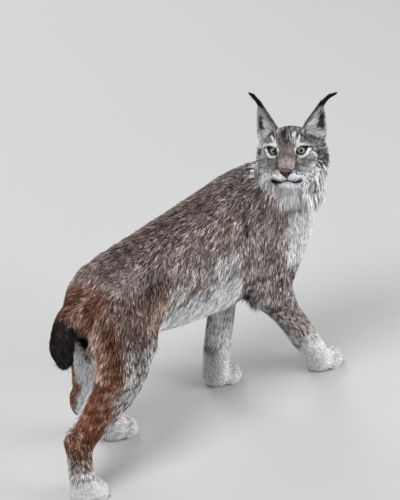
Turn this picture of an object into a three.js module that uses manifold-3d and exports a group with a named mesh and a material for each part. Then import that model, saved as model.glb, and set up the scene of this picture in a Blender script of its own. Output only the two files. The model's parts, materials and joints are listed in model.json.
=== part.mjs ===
// A Eurasian lynx in its winter coat, life size, standing on four paws with its head turned
// back over the right shoulder. Millimetres, +Z up, +X the way the trunk points, +Y the
// animal's left. The origin is on the floor, under the middle of the whole animal's box.
//
// The whole outline, out to the tips of the coat, is one blended field of distances made of
// tapered limbs and egg shapes. A grid of cells turns it into facets, and flat cuts divide
// it into the named parts of the body, with a thin gap in each cut.
import * as THREE from 'three';
import { mergeVertices } from 'three/addons/utils/BufferGeometryUtils.js';
import Module from 'manifold-3d';

const wasm = await Module();
wasm.setup();

// Driving dimensions, in millimetres. Heights and widths include the coat.
const WITHERS_HEIGHT = 596;
const CROUP_HEIGHT = 545;
const CHEST_DEPTH = 312;
const CHEST_WIDTH = 238;
const LOIN_WIDTH = 212;
const RUMP_WIDTH = 200;
const TRUNK_LENGTH = 560; // from the hips to the front of the chest, along X
const TAIL_LENGTH = 190;
const TAIL_WIDTH = 64;
const RUFF_SPREAD = { left: 59, right: 54 }; // from the middle of the face to each cheek ruff
const HEAD_CENTRE = new THREE.Vector3(573.8, -83.1, 644.4);
const FACE_YAW = -144.5; // degrees from +X, about +Z: the face looks back over the right shoulder
const FACE_PITCH = 30; // degrees above level
const FACE_ROLL = 6.5; // degrees, the left ear higher
const PUPIL_SPACING = 66;
const EYE_RADIUS = 13.5;
const EAR_HEIGHT = 72;
const EAR_WIDTH = 66;
const EAR_THICKNESS = 7;
const EAR_TUFT_LENGTH = 37;
const EAR_TUFT_RADIUS = 4.5;
const EAR_TUFT_LEAN = { left: 0.9, right: 0.5 }; // outward bend, as a share of the tuft's length
const PAW_WIDTH = 80;
const PAW_LENGTH = 100;
const PAW_HEIGHT = 56;
const GAP = 0.4; // left in every cut between two parts
const SOLE_DEPTH = 7; // how far the round paw is cut off to stand flat

// Cell sizes of the facets.
const TRUNK_CELL = 39;
const LIMB_CELL = 25;
const PAW_CELL = 18.6;
const HEAD_CELL = 15;

const v3 = (x, y, z) => new THREE.Vector3(x, y, z);
const mix = THREE.MathUtils.lerp;
const clamp = THREE.MathUtils.clamp;

// Fields of distances. A part of the field is a function of a point: below zero inside.

// A tapered limb through stations { at, wide, deep }: half widths along the side direction
// and across it. Positions and sizes are smoothed by curves through the stations.
function limb(stations, side = v3(0, 1, 0), steps = 3) {
  const line = new THREE.CatmullRomCurve3(stations.map((s) => s.at), false, 'centripetal');
  const sizes = new THREE.CatmullRomCurve3(stations.map((s) => v3(s.wide, s.deep, 0)));
  const count = (stations.length - 1) * steps;
  const points = Array.from({ length: count + 1 }, (_, i) => line.getPoint(i / count));
  const radii = Array.from({ length: count + 1 }, (_, i) => sizes.getPoint(i / count));
  const along = new THREE.Vector3();
  const off = new THREE.Vector3();
  return (p) => {
    let nearest = Infinity;
    for (let i = 0; i < count; i++) {
      along.subVectors(points[i + 1], points[i]);
      off.subVectors(p, points[i]);
      const t = clamp(off.dot(along) / along.lengthSq(), 0, 1);
      const wide = mix(radii[i].x, radii[i + 1].x, t);
      const deep = mix(radii[i].y, radii[i + 1].y, t);
      off.addScaledVector(along, -t);
      const across = off.dot(side);
      const rest = Math.sqrt(Math.max(0, off.lengthSq() - across * across));
      const d = (Math.hypot(across / wide, rest / deep) - 1) * Math.min(wide, deep);
      nearest = Math.min(nearest, d);
    }
    return nearest;
  };
}

// An egg shape with half sizes along the three axes of a frame.
function egg(centre, sizes, axes = [v3(1, 0, 0), v3(0, 1, 0), v3(0, 0, 1)]) {
  const off = new THREE.Vector3();
  const least = Math.min(sizes.x, sizes.y, sizes.z);
  return (p) => {
    off.subVectors(p, centre);
    const [x, y, z] = axes.map((axis) => off.dot(axis));
    return (Math.hypot(x / sizes.x, y / sizes.y, z / sizes.z) - 1) * least;
  };
}

// The union of fields with its inner corners filled to a soft radius.
function blend(soft, ...fields) {
  return (p) => fields.reduce((sum, field) => {
    const d = field(p);
    const h = Math.max(soft - Math.abs(sum - d), 0) / soft;
    return Math.min(sum, d) - (h * h * soft) / 4;
  }, 1e6);
}

// The trunk: rump, loin, chest and brisket, seen from the hips forward.
function trunkField() {
  const station = (x, y, top, height, width) => (
    { at: v3(x, y, top - height / 2), wide: width / 2, deep: height / 2 });
  return limb([
    station(2, 0, CROUP_HEIGHT - 79, 126, RUMP_WIDTH * 0.72),
    station(62, 0, CROUP_HEIGHT - 12, 212, RUMP_WIDTH),
    station(180, 0, CROUP_HEIGHT + 12, 262, LOIN_WIDTH),
    station(300, 0, CROUP_HEIGHT + 26, 298, CHEST_WIDTH - 8),
    station(400, 0, WITHERS_HEIGHT - 14, CHEST_DEPTH, CHEST_WIDTH),
    station(488, -4, WITHERS_HEIGHT - 2, CHEST_DEPTH - 12, CHEST_WIDTH - 16),
    station(TRUNK_LENGTH + 6, -18, WITHERS_HEIGHT - 56, CHEST_DEPTH - 86, CHEST_WIDTH - 42),
  ]);
}

function neckField() {
  return limb([
    { at: v3(508, -10, 484), wide: 98, deep: 106 },
    { at: v3(566, -30, 516), wide: 97, deep: 101 },
    { at: v3(602, -48, 564), wide: 82, deep: 84 },
    { at: v3(600, -54, 604), wide: 62, deep: 64 },
  ]);
}

function tailField() {
  const r = TAIL_WIDTH / 2;
  const drop = TAIL_LENGTH / 3;
  return limb([
    { at: v3(-48, 2, 455), wide: r * 1.08, deep: r * 1.04 },
    { at: v3(-98, -4, 425), wide: r * 1.04, deep: r * 1.02 },
    { at: v3(-119, -10, 434 - drop), wide: r, deep: r },
    { at: v3(-114, -12, 434 - drop * 1.52), wide: r * 0.84, deep: r * 0.84 },
  ]);
}

// A hind leg: thigh, knee, shank, hock with its heel, and the long foot down to the paw.
function hindLegField({ hip, knee, hock, paw }) {
  const behind = (p, back, up = 0) => p.clone().add(v3(-back, 0, up));
  const ankle = behind(paw, 14).setZ(46);
  const leg = limb([
    { at: hip, wide: 50, deep: 76 },
    { at: behind(hip.clone().lerp(knee, 0.5), 11), wide: 48, deep: 101 },
    { at: behind(knee, 43, 0), wide: 44, deep: 84 },
    { at: behind(knee.clone().lerp(hock, 0.45), 9, -4), wide: 38, deep: 68 },
    { at: behind(hock, -5), wide: 31, deep: 41 },
  ]);
  const foot = limb([
    { at: behind(hock, 4), wide: 30, deep: 34 },
    { at: behind(hock.clone().lerp(ankle, 0.5), 4), wide: 31, deep: 32 },
    { at: ankle, wide: 34, deep: 33 },
  ]);
  return blend(16, leg, foot, egg(behind(hock, 24, 14), v3(22, 19, 24)));
}

// A foreleg: shoulder, upper arm, elbow, forearm, wrist and the short pastern to the paw.
function foreLegField({ shoulder, elbow, wrist, paw }) {
  const pastern = paw.clone().add(v3(-20, 0, 42));
  const blade = shoulder.clone().add(v3(-62, shoulder.y > 0 ? -6 : 6, 62));
  const arm = limb([
    { at: blade, wide: 42, deep: 78 },
    { at: shoulder.clone().lerp(elbow, 0.1).add(v3(-22, 0, 0)), wide: 45, deep: 84 },
    { at: shoulder.clone().lerp(elbow, 0.7).add(v3(-10, 0, 0)), wide: 42, deep: 60 },
    { at: elbow, wide: 38, deep: 48 },
  ]);
  const forearm = limb([
    { at: elbow, wide: 38, deep: 48 },
    { at: elbow.clone().lerp(wrist, 0.5), wide: 34, deep: 37 },
    { at: wrist, wide: 35, deep: 35 },
    { at: pastern, wide: 37, deep: 31 },
  ]);
  return blend(14, arm, forearm);
}

// A paw: a broad low pad with four toes, the middle two a little ahead.
function pawField({ paw, heading }) {
  const side = v3(-heading.y, heading.x, 0);
  const up = v3(0, 0, 1);
  const axes = [heading, side, up];
  const place = (forward, across, height) => paw.clone()
    .addScaledVector(heading, forward).addScaledVector(side, across).setZ(height - SOLE_DEPTH);
  const padSizes = v3(PAW_LENGTH * 0.42, PAW_WIDTH * 0.44, PAW_HEIGHT * 0.5);
  const pad = egg(place(-10, 0, PAW_HEIGHT * 0.5), padSizes, axes);
  const toes = [-0.36, -0.13, 0.13, 0.36].map((across) => {
    const forward = PAW_LENGTH * (Math.abs(across) < 0.2 ? 0.3 : 0.19);
    const sizes = v3(PAW_LENGTH * 0.24, PAW_WIDTH * 0.15, PAW_HEIGHT * 0.41);
    return egg(place(forward, across * PAW_WIDTH, PAW_HEIGHT * 0.4), sizes, axes);
  });
  return blend(10, pad, ...toes);
}

// Head frame: forward along the nose, side to the animal's left, up to the crown.
const yaw = THREE.MathUtils.degToRad(FACE_YAW);
const pitch = THREE.MathUtils.degToRad(FACE_PITCH);
const faceForward = v3(Math.cos(yaw), Math.sin(yaw), Math.tan(pitch)).normalize();
const faceSide = v3(-Math.sin(yaw), Math.cos(yaw), 0)
  .applyAxisAngle(faceForward, THREE.MathUtils.degToRad(FACE_ROLL));
const faceUp = new THREE.Vector3().crossVectors(faceForward, faceSide);
const faceAxes = [faceForward, faceSide, faceUp];
const onHead = (forward, side, up) => HEAD_CENTRE.clone()
  .addScaledVector(faceForward, forward)
  .addScaledVector(faceSide, side)
  .addScaledVector(faceUp, up);

function headField() {
  const part = (f, s, u, a, b, c) => egg(onHead(f, s, u), v3(a, b, c), faceAxes);
  const pair = (f, s, u, a, b, c) => [part(f, s, u, a, b, c), part(f, -s, u, a, b, c)];
  const skull = blend(22, part(-18, 0, 14, 72, 70, 64), part(18, 0, 18, 42, 58, 46),
    ...pair(-2, 46, -16, 50, 36, 46));
  const bridge = limb([
    { at: onHead(36, 0, 32), wide: 25, deep: 20 },
    { at: onHead(58, 0, 4), wide: 20, deep: 20 },
    { at: onHead(75, 0, -16), wide: 17, deep: 16 },
  ], faceSide);
  const muzzle = limb([
    { at: onHead(16, 0, -20), wide: 50, deep: 46 },
    { at: onHead(48, 0, -32), wide: 39, deep: 32 },
    { at: onHead(64, 0, -40), wide: 31, deep: 24 },
  ], faceSide);
  const pads = pair(67, 17, -43, 22, 20, 17);
  const chin = part(56, 0, -61, 22, 22, 13);
  const brows = pair(34, 30, 37, 19, 22, 13);
  const cheekbones = pair(22, 50, -8, 26, 22, 20);
  const jaw = part(2, 0, -48, 54, 50, 34);
  const throat = part(-34, 0, -62, 60, 60, 54);
  const face = blend(9, blend(14, skull, jaw, muzzle, ...cheekbones), bridge, ...pads, chin, ...brows);
  return blend(20, face, throat, ...[1, -1].map(ruffField));
}

// The long cheek ruff that hangs below each ear and frames the face.
function ruffField(sign) {
  const out = sign * (sign > 0 ? RUFF_SPREAD.left : RUFF_SPREAD.right);
  return limb([
    { at: onHead(-16, out, 22), wide: 26, deep: 38 },
    { at: onHead(-8, out + sign * 2, -24), wide: 29, deep: 44 },
    { at: onHead(2, out - sign * 4, -64), wide: 26, deep: 36 },
    { at: onHead(10, out - sign * 12, -94), wide: 15, deep: 18 },
  ], faceSide);
}

// The pose of the legs: joints in the middle of the flesh, and where each paw stands.
const turned = (degrees) => {
  const angle = THREE.MathUtils.degToRad(degrees);
  return v3(Math.cos(angle), Math.sin(angle), 0);
};
const legs = {
  hind_right: {
    hip: v3(14, -60, 438), knee: v3(46, -95, 298), hock: v3(-136, -88, 154),
    paw: v3(-132, -110, 0), heading: turned(-6),
  },
  hind_left: {
    hip: v3(36, 48, 420), knee: v3(106, 76, 312), hock: v3(18, 54, 128),
    paw: v3(108, 40, 0), heading: turned(0),
  },
  fore_right: {
    shoulder: v3(556, -72, 408), elbow: v3(510, -90, 288), wrist: v3(620, -86, 118),
    paw: v3(690, -84, 0), heading: turned(2),
  },
  fore_left: {
    shoulder: v3(566, 62, 408), elbow: v3(502, 66, 288), wrist: v3(453, 44, 112),
    paw: v3(460, 40, 0), heading: turned(-2),
  },
};
const isHind = (name) => name.startsWith('hind');

const legFields = Object.fromEntries(Object.entries(legs).map(([name, leg]) => (
  [name, blend(12, isHind(name) ? hindLegField(leg) : foreLegField(leg), pawField(leg))])));
const field = blend(30, blend(40, trunkField(), neckField()), tailField(), headField(),
  ...Object.values(legFields));

// Where the corners of a grid face alternate between inside and outside, the surface would
// pinch: the outer corner nearest the surface is counted as inside.
function fillPinches(values, strides) {
  const faces = [[strides[0], strides[1]], [strides[1], strides[2]], [strides[2], strides[0]]];
  for (let n = 0; n < values.length; n++)
    for (const [a, b] of faces) {
      const ring = [n, n + a, n + a + b, n + b];
      const [first, second, third, fourth] = ring.map((corner) => values[corner] < 0);
      if (first !== third || second !== fourth || first === second) continue;
      const outer = ring.filter((corner) => values[corner] >= 0);
      const nearest = values[outer[0]] < values[outer[1]] ? outer[0] : outer[1];
      values[nearest] = -0.01;
      n = 0;
    }
}

// Facets: one vertex in each grid cell that the surface crosses, moved onto the surface.
function facets(inside, low, cell, counts) {
  const [nx, ny, nz] = counts;
  const at = (i, j, k) => v3(low.x + i * cell, low.y + j * cell, low.z + k * cell);
  const index = (i, j, k) => (k * ny + j) * nx + i;
  const values = new Float32Array(nx * ny * nz).fill(1);
  for (let k = 1; k < nz - 1; k++)
    for (let j = 1; j < ny - 1; j++)
      for (let i = 1; i < nx - 1; i++) values[index(i, j, k)] = inside(at(i, j, k));
  fillPinches(values, [1, nx, nx * ny]);
  const corners = [];
  for (let c = 0; c < 8; c++) corners.push([c & 1, (c >> 1) & 1, (c >> 2) & 1]);
  const positions = [];
  const vertexOf = new Map();
  const slope = new THREE.Vector3();
  for (let k = 0; k < nz - 1; k++)
    for (let j = 0; j < ny - 1; j++)
      for (let i = 0; i < nx - 1; i++) {
        const sum = new THREE.Vector3();
        let crossings = 0;
        for (let a = 0; a < 8; a++)
          for (const bit of [1, 2, 4]) {
            if (a & bit) continue;
            const b = a | bit;
            const fa = values[index(i + corners[a][0], j + corners[a][1], k + corners[a][2])];
            const fb = values[index(i + corners[b][0], j + corners[b][1], k + corners[b][2])];
            if (fa < 0 === fb < 0) continue;
            const start = at(i + corners[a][0], j + corners[a][1], k + corners[a][2]);
            const end = at(i + corners[b][0], j + corners[b][1], k + corners[b][2]);
            sum.add(start.lerp(end, fa / (fa - fb)));
            crossings++;
          }
        if (!crossings) continue;
        const p = sum.divideScalar(crossings);
        const nudge = 0.5;
        for (let pass = 0; pass < 2; pass++) {
          const here = inside(p);
          slope.set(
            inside(p.clone().setX(p.x + nudge)) - here,
            inside(p.clone().setY(p.y + nudge)) - here,
            inside(p.clone().setZ(p.z + nudge)) - here,
          ).divideScalar(nudge);
          const move = clamp(here / Math.max(slope.lengthSq(), 0.2), -cell * 0.35, cell * 0.35);
          p.addScaledVector(slope, -move);
        }
        vertexOf.set(index(i, j, k), positions.length / 3);
        positions.push(p.x, p.y, p.z);
      }
  const triangles = [];
  const corner = (v) => v3(positions[v * 3], positions[v * 3 + 1], positions[v * 3 + 2]);
  const quad = (a, b, c, d, flip) => {
    const ring = flip ? [a, d, c, b] : [a, b, c, d];
    const [first, second, third, fourth] = ring.map(corner);
    const isFirstShort = first.distanceTo(third) < second.distanceTo(fourth);
    const order = isFirstShort ? [0, 1, 2, 0, 2, 3] : [1, 2, 3, 1, 3, 0];
    for (const n of order) triangles.push(ring[n]);
  };
  for (let k = 0; k < nz - 1; k++)
    for (let j = 0; j < ny - 1; j++)
      for (let i = 0; i < nx - 1; i++) {
        const here = values[index(i, j, k)] < 0;
        const cellAt = (di, dj, dk) => vertexOf.get(index(i - di, j - dj, k - dk));
        if (here !== values[index(i + 1, j, k)] < 0)
          quad(cellAt(0, 1, 1), cellAt(0, 0, 1), cellAt(0, 0, 0), cellAt(0, 1, 0), !here);
        if (here !== values[index(i, j + 1, k)] < 0)
          quad(cellAt(1, 0, 1), cellAt(1, 0, 0), cellAt(0, 0, 0), cellAt(0, 0, 1), !here);
        if (here !== values[index(i, j, k + 1)] < 0)
          quad(cellAt(1, 1, 0), cellAt(0, 1, 0), cellAt(0, 0, 0), cellAt(1, 0, 0), !here);
      }
  return { vertProperties: new Float32Array(positions), triVerts: new Uint32Array(triangles) };
}

// Closed shapes built from rings of points, the same number in each ring.
function ringGeometry(rings) {
  const sides = rings[0].length;
  const points = rings.flat();
  const index = [];
  for (let r = 0; r + 1 < rings.length; r++)
    for (let n = 0; n < sides; n++) {
      const [a, b] = [r * sides + n, r * sides + ((n + 1) % sides)];
      index.push(a, b, b + sides, a, b + sides, a + sides);
    }
  const last = (rings.length - 1) * sides;
  for (let n = 1; n + 1 < sides; n++) {
    index.push(0, n + 1, n, last, last + n, last + n + 1);
  }
  const geometry = new THREE.BufferGeometry().setFromPoints(points);
  geometry.setIndex(index);
  return geometry;
}

// A hair tuft: a thin cone along a bent line.
function tuftGeometry(start, middle, end, radius) {
  const curve = new THREE.QuadraticBezierCurve3(start, middle, end);
  const [sides, rings] = [7, 7];
  return ringGeometry(Array.from({ length: rings }, (_, r) => {
    const t = r / (rings - 1);
    const forward = curve.getTangent(t);
    const side = new THREE.Vector3().crossVectors(forward, faceForward).normalize();
    const up = new THREE.Vector3().crossVectors(side, forward);
    const size = mix(radius, 0.8, t ** 1.4);
    return Array.from({ length: sides }, (_, n) => {
      const angle = (n / sides) * Math.PI * 2;
      return curve.getPoint(t)
        .addScaledVector(side, -Math.cos(angle) * size)
        .addScaledVector(up, Math.sin(angle) * size);
    });
  }));
}

// An ear: a cupped leaf, its rim turned forward and out, narrowing to the tip.
function earShape(sign) {
  const base = onHead(-24, sign * 52, 60);
  const tip = onHead(-20, sign * 75, 60 + EAR_HEIGHT);
  const axis = tip.clone().sub(base);
  const outward = faceForward.clone().multiplyScalar(0.86).addScaledVector(faceSide, sign * 0.5);
  const width = new THREE.Vector3().crossVectors(outward, axis).normalize();
  const open = new THREE.Vector3().crossVectors(axis, width).normalize();
  const [rowCount, columns, sunk] = [7, 6, 0.34];
  const rings = Array.from({ length: rowCount }, (_, row) => {
    const v = mix(-sunk, 1, row / (rowCount - 1));
    const half = (EAR_WIDTH / 2) * (1 - 0.93 * Math.max(0, v) ** 1.3);
    const cup = 20 * (1 - 0.75 * Math.max(0, v));
    const thick = EAR_THICKNESS * (1 - 0.55 * Math.max(0, v));
    const at = (u, back) => base.clone().addScaledVector(axis, v).addScaledVector(width, u * half)
      .addScaledVector(open, cup * (u * u - 0.55) - back * thick);
    const front = Array.from({ length: columns + 1 }, (_, c) => at(mix(-1, 1, c / columns), 0));
    const rear = Array.from({ length: columns + 1 }, (_, c) => at(mix(1, -1, c / columns), 1));
    return [...front, ...rear].reverse();
  });
  const top = rings[rowCount - 1];
  const middle = top.reduce((sum, p) => sum.add(p), v3(0, 0, 0)).divideScalar(top.length);
  return { geometry: ringGeometry(rings), axis: axis.normalize(), tip: middle };
}

// How far along a ray from a point outside the surface is met.
function surfaceAlong(start, direction) {
  const p = start.clone();
  for (let step = 0; step < 200; step++) {
    const d = field(p);
    if (d < 0.05) break;
    p.addScaledVector(direction, d * 0.6);
  }
  return p;
}

const solidFrom = (mesh) => new wasm.Manifold(new wasm.Mesh({ numProp: 3, ...mesh }));

function solidOfGeometry(geometry) {
  const plain = geometry.clone();
  plain.deleteAttribute('normal');
  plain.deleteAttribute('uv');
  const merged = mergeVertices(plain, 1e-4);
  return solidFrom({
    vertProperties: merged.attributes.position.array,
    triVerts: new Uint32Array(merged.index.array),
  });
}

function geometryOfSolid(solid) {
  const mesh = solid.getMesh();
  const geometry = new THREE.BufferGeometry();
  geometry.setAttribute('position', new THREE.BufferAttribute(new Float32Array(mesh.vertProperties), 3));
  geometry.setIndex(new THREE.BufferAttribute(new Uint32Array(mesh.triVerts), 1));
  return geometry;
}

const largest = (solid) => solid.decompose().sort((a, b) => b.volume() - a.volume())[0];

// Cutting planes: each keeps what lies on the side that its normal points to.
const plane = (point, normal) => ({ point, normal: normal.clone().normalize() });
const reverse = (cut) => ({ point: cut.point, normal: cut.normal.clone().negate() });
const isKept = (cuts, p, slack = 0) => cuts.every(
  (cut) => p.clone().sub(cut.point).dot(cut.normal) > -slack);
const trim = (solid, cuts, shift) => cuts.reduce(
  (left, { point, normal }) => left.trimByPlane(normal.toArray(), normal.dot(point) + shift), solid);

// The box round the animal, sampled coarsely, so that each part's grid covers only itself.
const SCAN_STEP = 16;
const scan = [];
for (let x = -180; x < 780; x += SCAN_STEP)
  for (let y = -240; y < 180; y += SCAN_STEP)
    for (let z = -8; z < 780; z += SCAN_STEP) {
      const p = v3(x, y, z);
      if (field(p) < SCAN_STEP) scan.push(p);
    }

// The field inside a set of cuts as one solid.
function cutOut(cuts, cell, inside = field, shift = GAP / 2) {
  const near = scan.filter((p) => isKept(cuts, p, cell * 2) && inside(p) < SCAN_STEP);
  const box = new THREE.Box3().setFromPoints(near);
  const low = box.min.clone().addScalar(-1.5 * cell);
  const size = box.max.clone().sub(low).addScalar(1.5 * cell);
  const counts = size.toArray().map((length) => Math.ceil(length / cell) + 1);
  return largest(trim(solidFrom(facets(inside, low, cell, counts)), cuts, shift));
}

// A part of the body, less the room that other parts take.
const bodyPart = (cuts, cell, rooms) => largest(
  rooms.reduce((left, room) => left.subtract(room), cutOut(cuts, cell)));

// The whole region inside a set of cuts, wider by half a gap, as a solid to cut with.
function cellSolid(cuts) {
  const reach = 3000;
  return trim(solidOfGeometry(new THREE.BoxGeometry(reach, reach, reach)), cuts, -GAP / 2);
}

const floor = plane(v3(0, 0, -GAP / 2), v3(0, 0, 1));

// Cuts across a limb from one joint to the next.
const across = (joint, toward) => plane(joint, toward.clone().sub(joint));

function legCuts(name) {
  const leg = legs[name];
  const out = name.endsWith('left') ? 1 : -1;
  if (isHind(name)) {
    const kneeCut = plane(leg.knee.clone().add(v3(-40, 0, -30)), v3(0.45, 0, 0.9));
    const hockCut = plane(leg.hock.clone().add(v3(16, 0, 16)), leg.knee.clone().sub(leg.hock));
    const pawCut = plane(leg.paw.clone().setZ(62), v3(0, 0, 1));
    return {
      thigh: [
        plane(leg.hip.clone().add(v3(10, -out * 14, -40)), v3(0, out, -0.32)),
        plane(v3(leg.knee.x + 70, 0, 330), v3(-1, 0, 0.4)),
        plane(leg.hip.clone().add(v3(0, 0, 62)), v3(0, 0, -1)),
        kneeCut,
      ],
      shank: [reverse(kneeCut), hockCut],
      foot: [reverse(hockCut), pawCut],
      paw: [reverse(pawCut), floor],
    };
  }
  const elbowCut = plane(leg.elbow.clone().add(v3(0, 0, -14)), leg.shoulder.clone().sub(leg.elbow));
  const wristCut = across(leg.wrist.clone().add(v3(0, 0, -12)), leg.elbow);
  return {
    arm: [
      plane(leg.shoulder.clone().add(v3(-20, -out * 2, -30)), v3(0, out, -0.24)),
      plane(v3(leg.shoulder.x - 150, 0, 400), v3(1, 0, 0.2)),
      plane(v3(leg.shoulder.x + 66, 0, 400), v3(-1, 0, -0.3)),
      plane(leg.shoulder.clone().add(v3(0, 0, 112)), v3(0, 0, -1)),
      elbowCut,
    ],
    forearm: [reverse(elbowCut), wristCut],
    paw: [reverse(wristCut), floor],
  };
}

const group = new THREE.Group();
const coat = {
  back: 0x8b7d72,
  rust: 0x9a6a4a,
  leg: 0xa39487,
  paw: 0xcfc8be,
  face: 0x9c948a,
  ruff: 0xd2cdc5,
  black: 0x1d1a19,
};

const SHORTEST_EDGE = 0.05;

function addPart(name, solid, colour, roughness = 0.9) {
  const material = new THREE.MeshStandardMaterial({ color: colour, roughness, metalness: 0 });
  const mesh = new THREE.Mesh(geometryOfSolid(solid.simplify(SHORTEST_EDGE)), material);
  mesh.name = name;
  group.add(mesh);
}

// The head's own room, which the neck, chest and shoulders leave free.
const headCuts = [
  plane(onHead(-50, 0, 0), faceForward),
  plane(onHead(0, 0, -122), faceUp),
  plane(v3(485, -25, 598), v3(0.25, -0.45, 0.85)),
];
const headRoom = cellSolid(headCuts);

// Legs
const rooms = {};
for (const [name, leg] of Object.entries(legs)) {
  const [pair, end] = name.split('_');
  rooms[name] = [];
  for (const [part, cuts] of Object.entries(legCuts(name))) {
    const isTop = part === 'thigh' || part === 'arm';
    const cell = { thigh: TRUNK_CELL, arm: TRUNK_CELL, paw: PAW_CELL }[part] ?? LIMB_CELL;
    const inside = legFields[name];
    const solid = isTop ? bodyPart(cuts, cell, [headRoom]) : cutOut(cuts, cell, inside);
    addPart(`${pair}_${part}_${end}`, solid, part === 'paw' ? coat.paw : coat.leg);
    if (isTop) {
      rooms[name].push(cellSolid(cuts));
    } else if (part !== 'paw') {
      rooms[name].push(cutOut(cuts, cell, (p) => inside(p) - GAP * 2, -GAP / 2));
    }
  }
}

// Head
const ruffCut = (sign) => plane(
  onHead(0, sign * 52, -30),
  onHead(-0.2, sign * 0.85, -0.38).sub(HEAD_CENTRE),
);

// A solid less another one, with a gap all round it.
function less(solid, taken) {
  const ways = faceAxes.flatMap((axis) => [axis, axis.clone().negate()]);
  return largest(ways.reduce(
    (left, way) => left.subtract(taken.translate(way.clone().multiplyScalar(GAP).toArray())), solid));
}

let headSolid = cutOut([...headCuts, reverse(ruffCut(1)), reverse(ruffCut(-1))], HEAD_CELL);
for (const [sign, end] of [[1, 'left'], [-1, 'right']]) {
  const ruffSolid = cutOut([...headCuts, ruffCut(sign)], HEAD_CELL);
  addPart(`ruff_${end}`, ruffSolid, coat.ruff);
  const ear = earShape(sign);
  const earAboveHead = less(solidOfGeometry(ear.geometry), headSolid);
  addPart(`ear_${end}`, less(earAboveHead, ruffSolid), coat.face);
  const beyondTip = (share) => ear.tip.clone().addScaledVector(ear.axis, GAP + EAR_TUFT_LENGTH * share);
  const lean = EAR_TUFT_LEAN[end];
  const tuftEnd = beyondTip(1 - lean * 0.36).addScaledVector(faceSide, sign * EAR_TUFT_LENGTH * lean);
  const tuft = tuftGeometry(beyondTip(0), beyondTip(0.56), tuftEnd, EAR_TUFT_RADIUS);
  addPart(`ear_tuft_${end}`, solidOfGeometry(tuft), coat.black);

  const inward = faceForward.clone().negate();
  const lid = surfaceAlong(onHead(120, sign * PUPIL_SPACING / 2, 17), inward);
  const eyeCentre = lid.addScaledVector(inward, EYE_RADIUS * 0.78);
  const ball = (radius) => {
    const geometry = new THREE.IcosahedronGeometry(radius, 2);
    return geometry.translate(eyeCentre.x, eyeCentre.y, eyeCentre.z);
  };
  addPart(`eye_${end}`, solidOfGeometry(ball(EYE_RADIUS)), 0xa9a063, 0.15);
  headSolid = headSolid.subtract(solidOfGeometry(ball(EYE_RADIUS + GAP * 1.5)));
}
const noseTip = surfaceAlong(onHead(140, 0, -35), faceForward.clone().negate());
const noseTurn = new THREE.Matrix4().makeBasis(...faceAxes)
  .setPosition(noseTip.addScaledVector(faceForward, -5));
const nosePad = (grow) => solidOfGeometry(new THREE.SphereGeometry(1, 12, 8)
  .scale(9 + grow, 16 + grow, 11.5 + grow).applyMatrix4(noseTurn));
addPart('nose', nosePad(0), 0x6d4a42, 0.55);
addPart('head', largest(headSolid.subtract(nosePad(GAP * 1.5))), coat.face);

// Trunk
const rumpCut = plane(v3(118, 0, 430), v3(1, 0, 0.05));
const loinCut = plane(v3(300, 0, 430), v3(1, 0, 0.05));
const neckCut = plane(v3(556, -14, 508), v3(0.52, -0.14, 0.84));
const tailCut = plane(v3(-84, -2, 450), v3(-0.82, 0, -0.4));
const tailTipCut = plane(v3(-116, -10, 412), v3(-0.35, 0, -1));
const underTrunk = plane(v3(0, 0, 266), v3(0, 0, 1));
const hindRooms = [...rooms.hind_left, ...rooms.hind_right];
const foreRooms = [...rooms.fore_left, ...rooms.fore_right, headRoom];
const rump = bodyPart([reverse(rumpCut), reverse(tailCut), underTrunk], TRUNK_CELL, hindRooms);
addPart('rump', rump, coat.back);
const loin = bodyPart([rumpCut, reverse(loinCut), underTrunk], TRUNK_CELL, hindRooms);
addPart('loin', loin, coat.back);
const chest = bodyPart([loinCut, reverse(neckCut), underTrunk], TRUNK_CELL, foreRooms);
addPart('chest', chest, coat.back);
const neck = bodyPart([loinCut, neckCut], TRUNK_CELL, foreRooms);
addPart('neck', neck, coat.back);
const tail = bodyPart([tailCut, reverse(tailTipCut)], LIMB_CELL, hindRooms);
addPart('tail', tail, coat.rust);
addPart('tail_tip', cutOut([tailTipCut], LIMB_CELL, tailField()), coat.black);

// The origin goes to the floor under the middle of the box round everything.
const bounds = new THREE.Box3().setFromObject(group);
const middle = bounds.getCenter(v3(0, 0, 0));
group.position.set(-middle.x, -middle.y, 0);
const lynx = new THREE.Group();
lynx.add(group);

export default lynx;
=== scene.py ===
"""A Eurasian lynx in its winter coat: hide, ears, eyes, nose, whiskers and the fur over the hide.

Sizes are in millimetres where a name says so, and in metres otherwise. The hide is one skin,
settled onto a field of the bare body that mirrors the CAD solids less the depth of the coat.
Fur is mesh: closed three-sided locks that follow the lie of the coat out to the CAD outline.
"""
import json
import math
from contextlib import contextmanager

import bmesh
import bpy
import numpy as np
from bpy.props import FloatProperty, FloatVectorProperty, PointerProperty
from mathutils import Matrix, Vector
from mathutils.bvhtree import BVHTree

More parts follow.
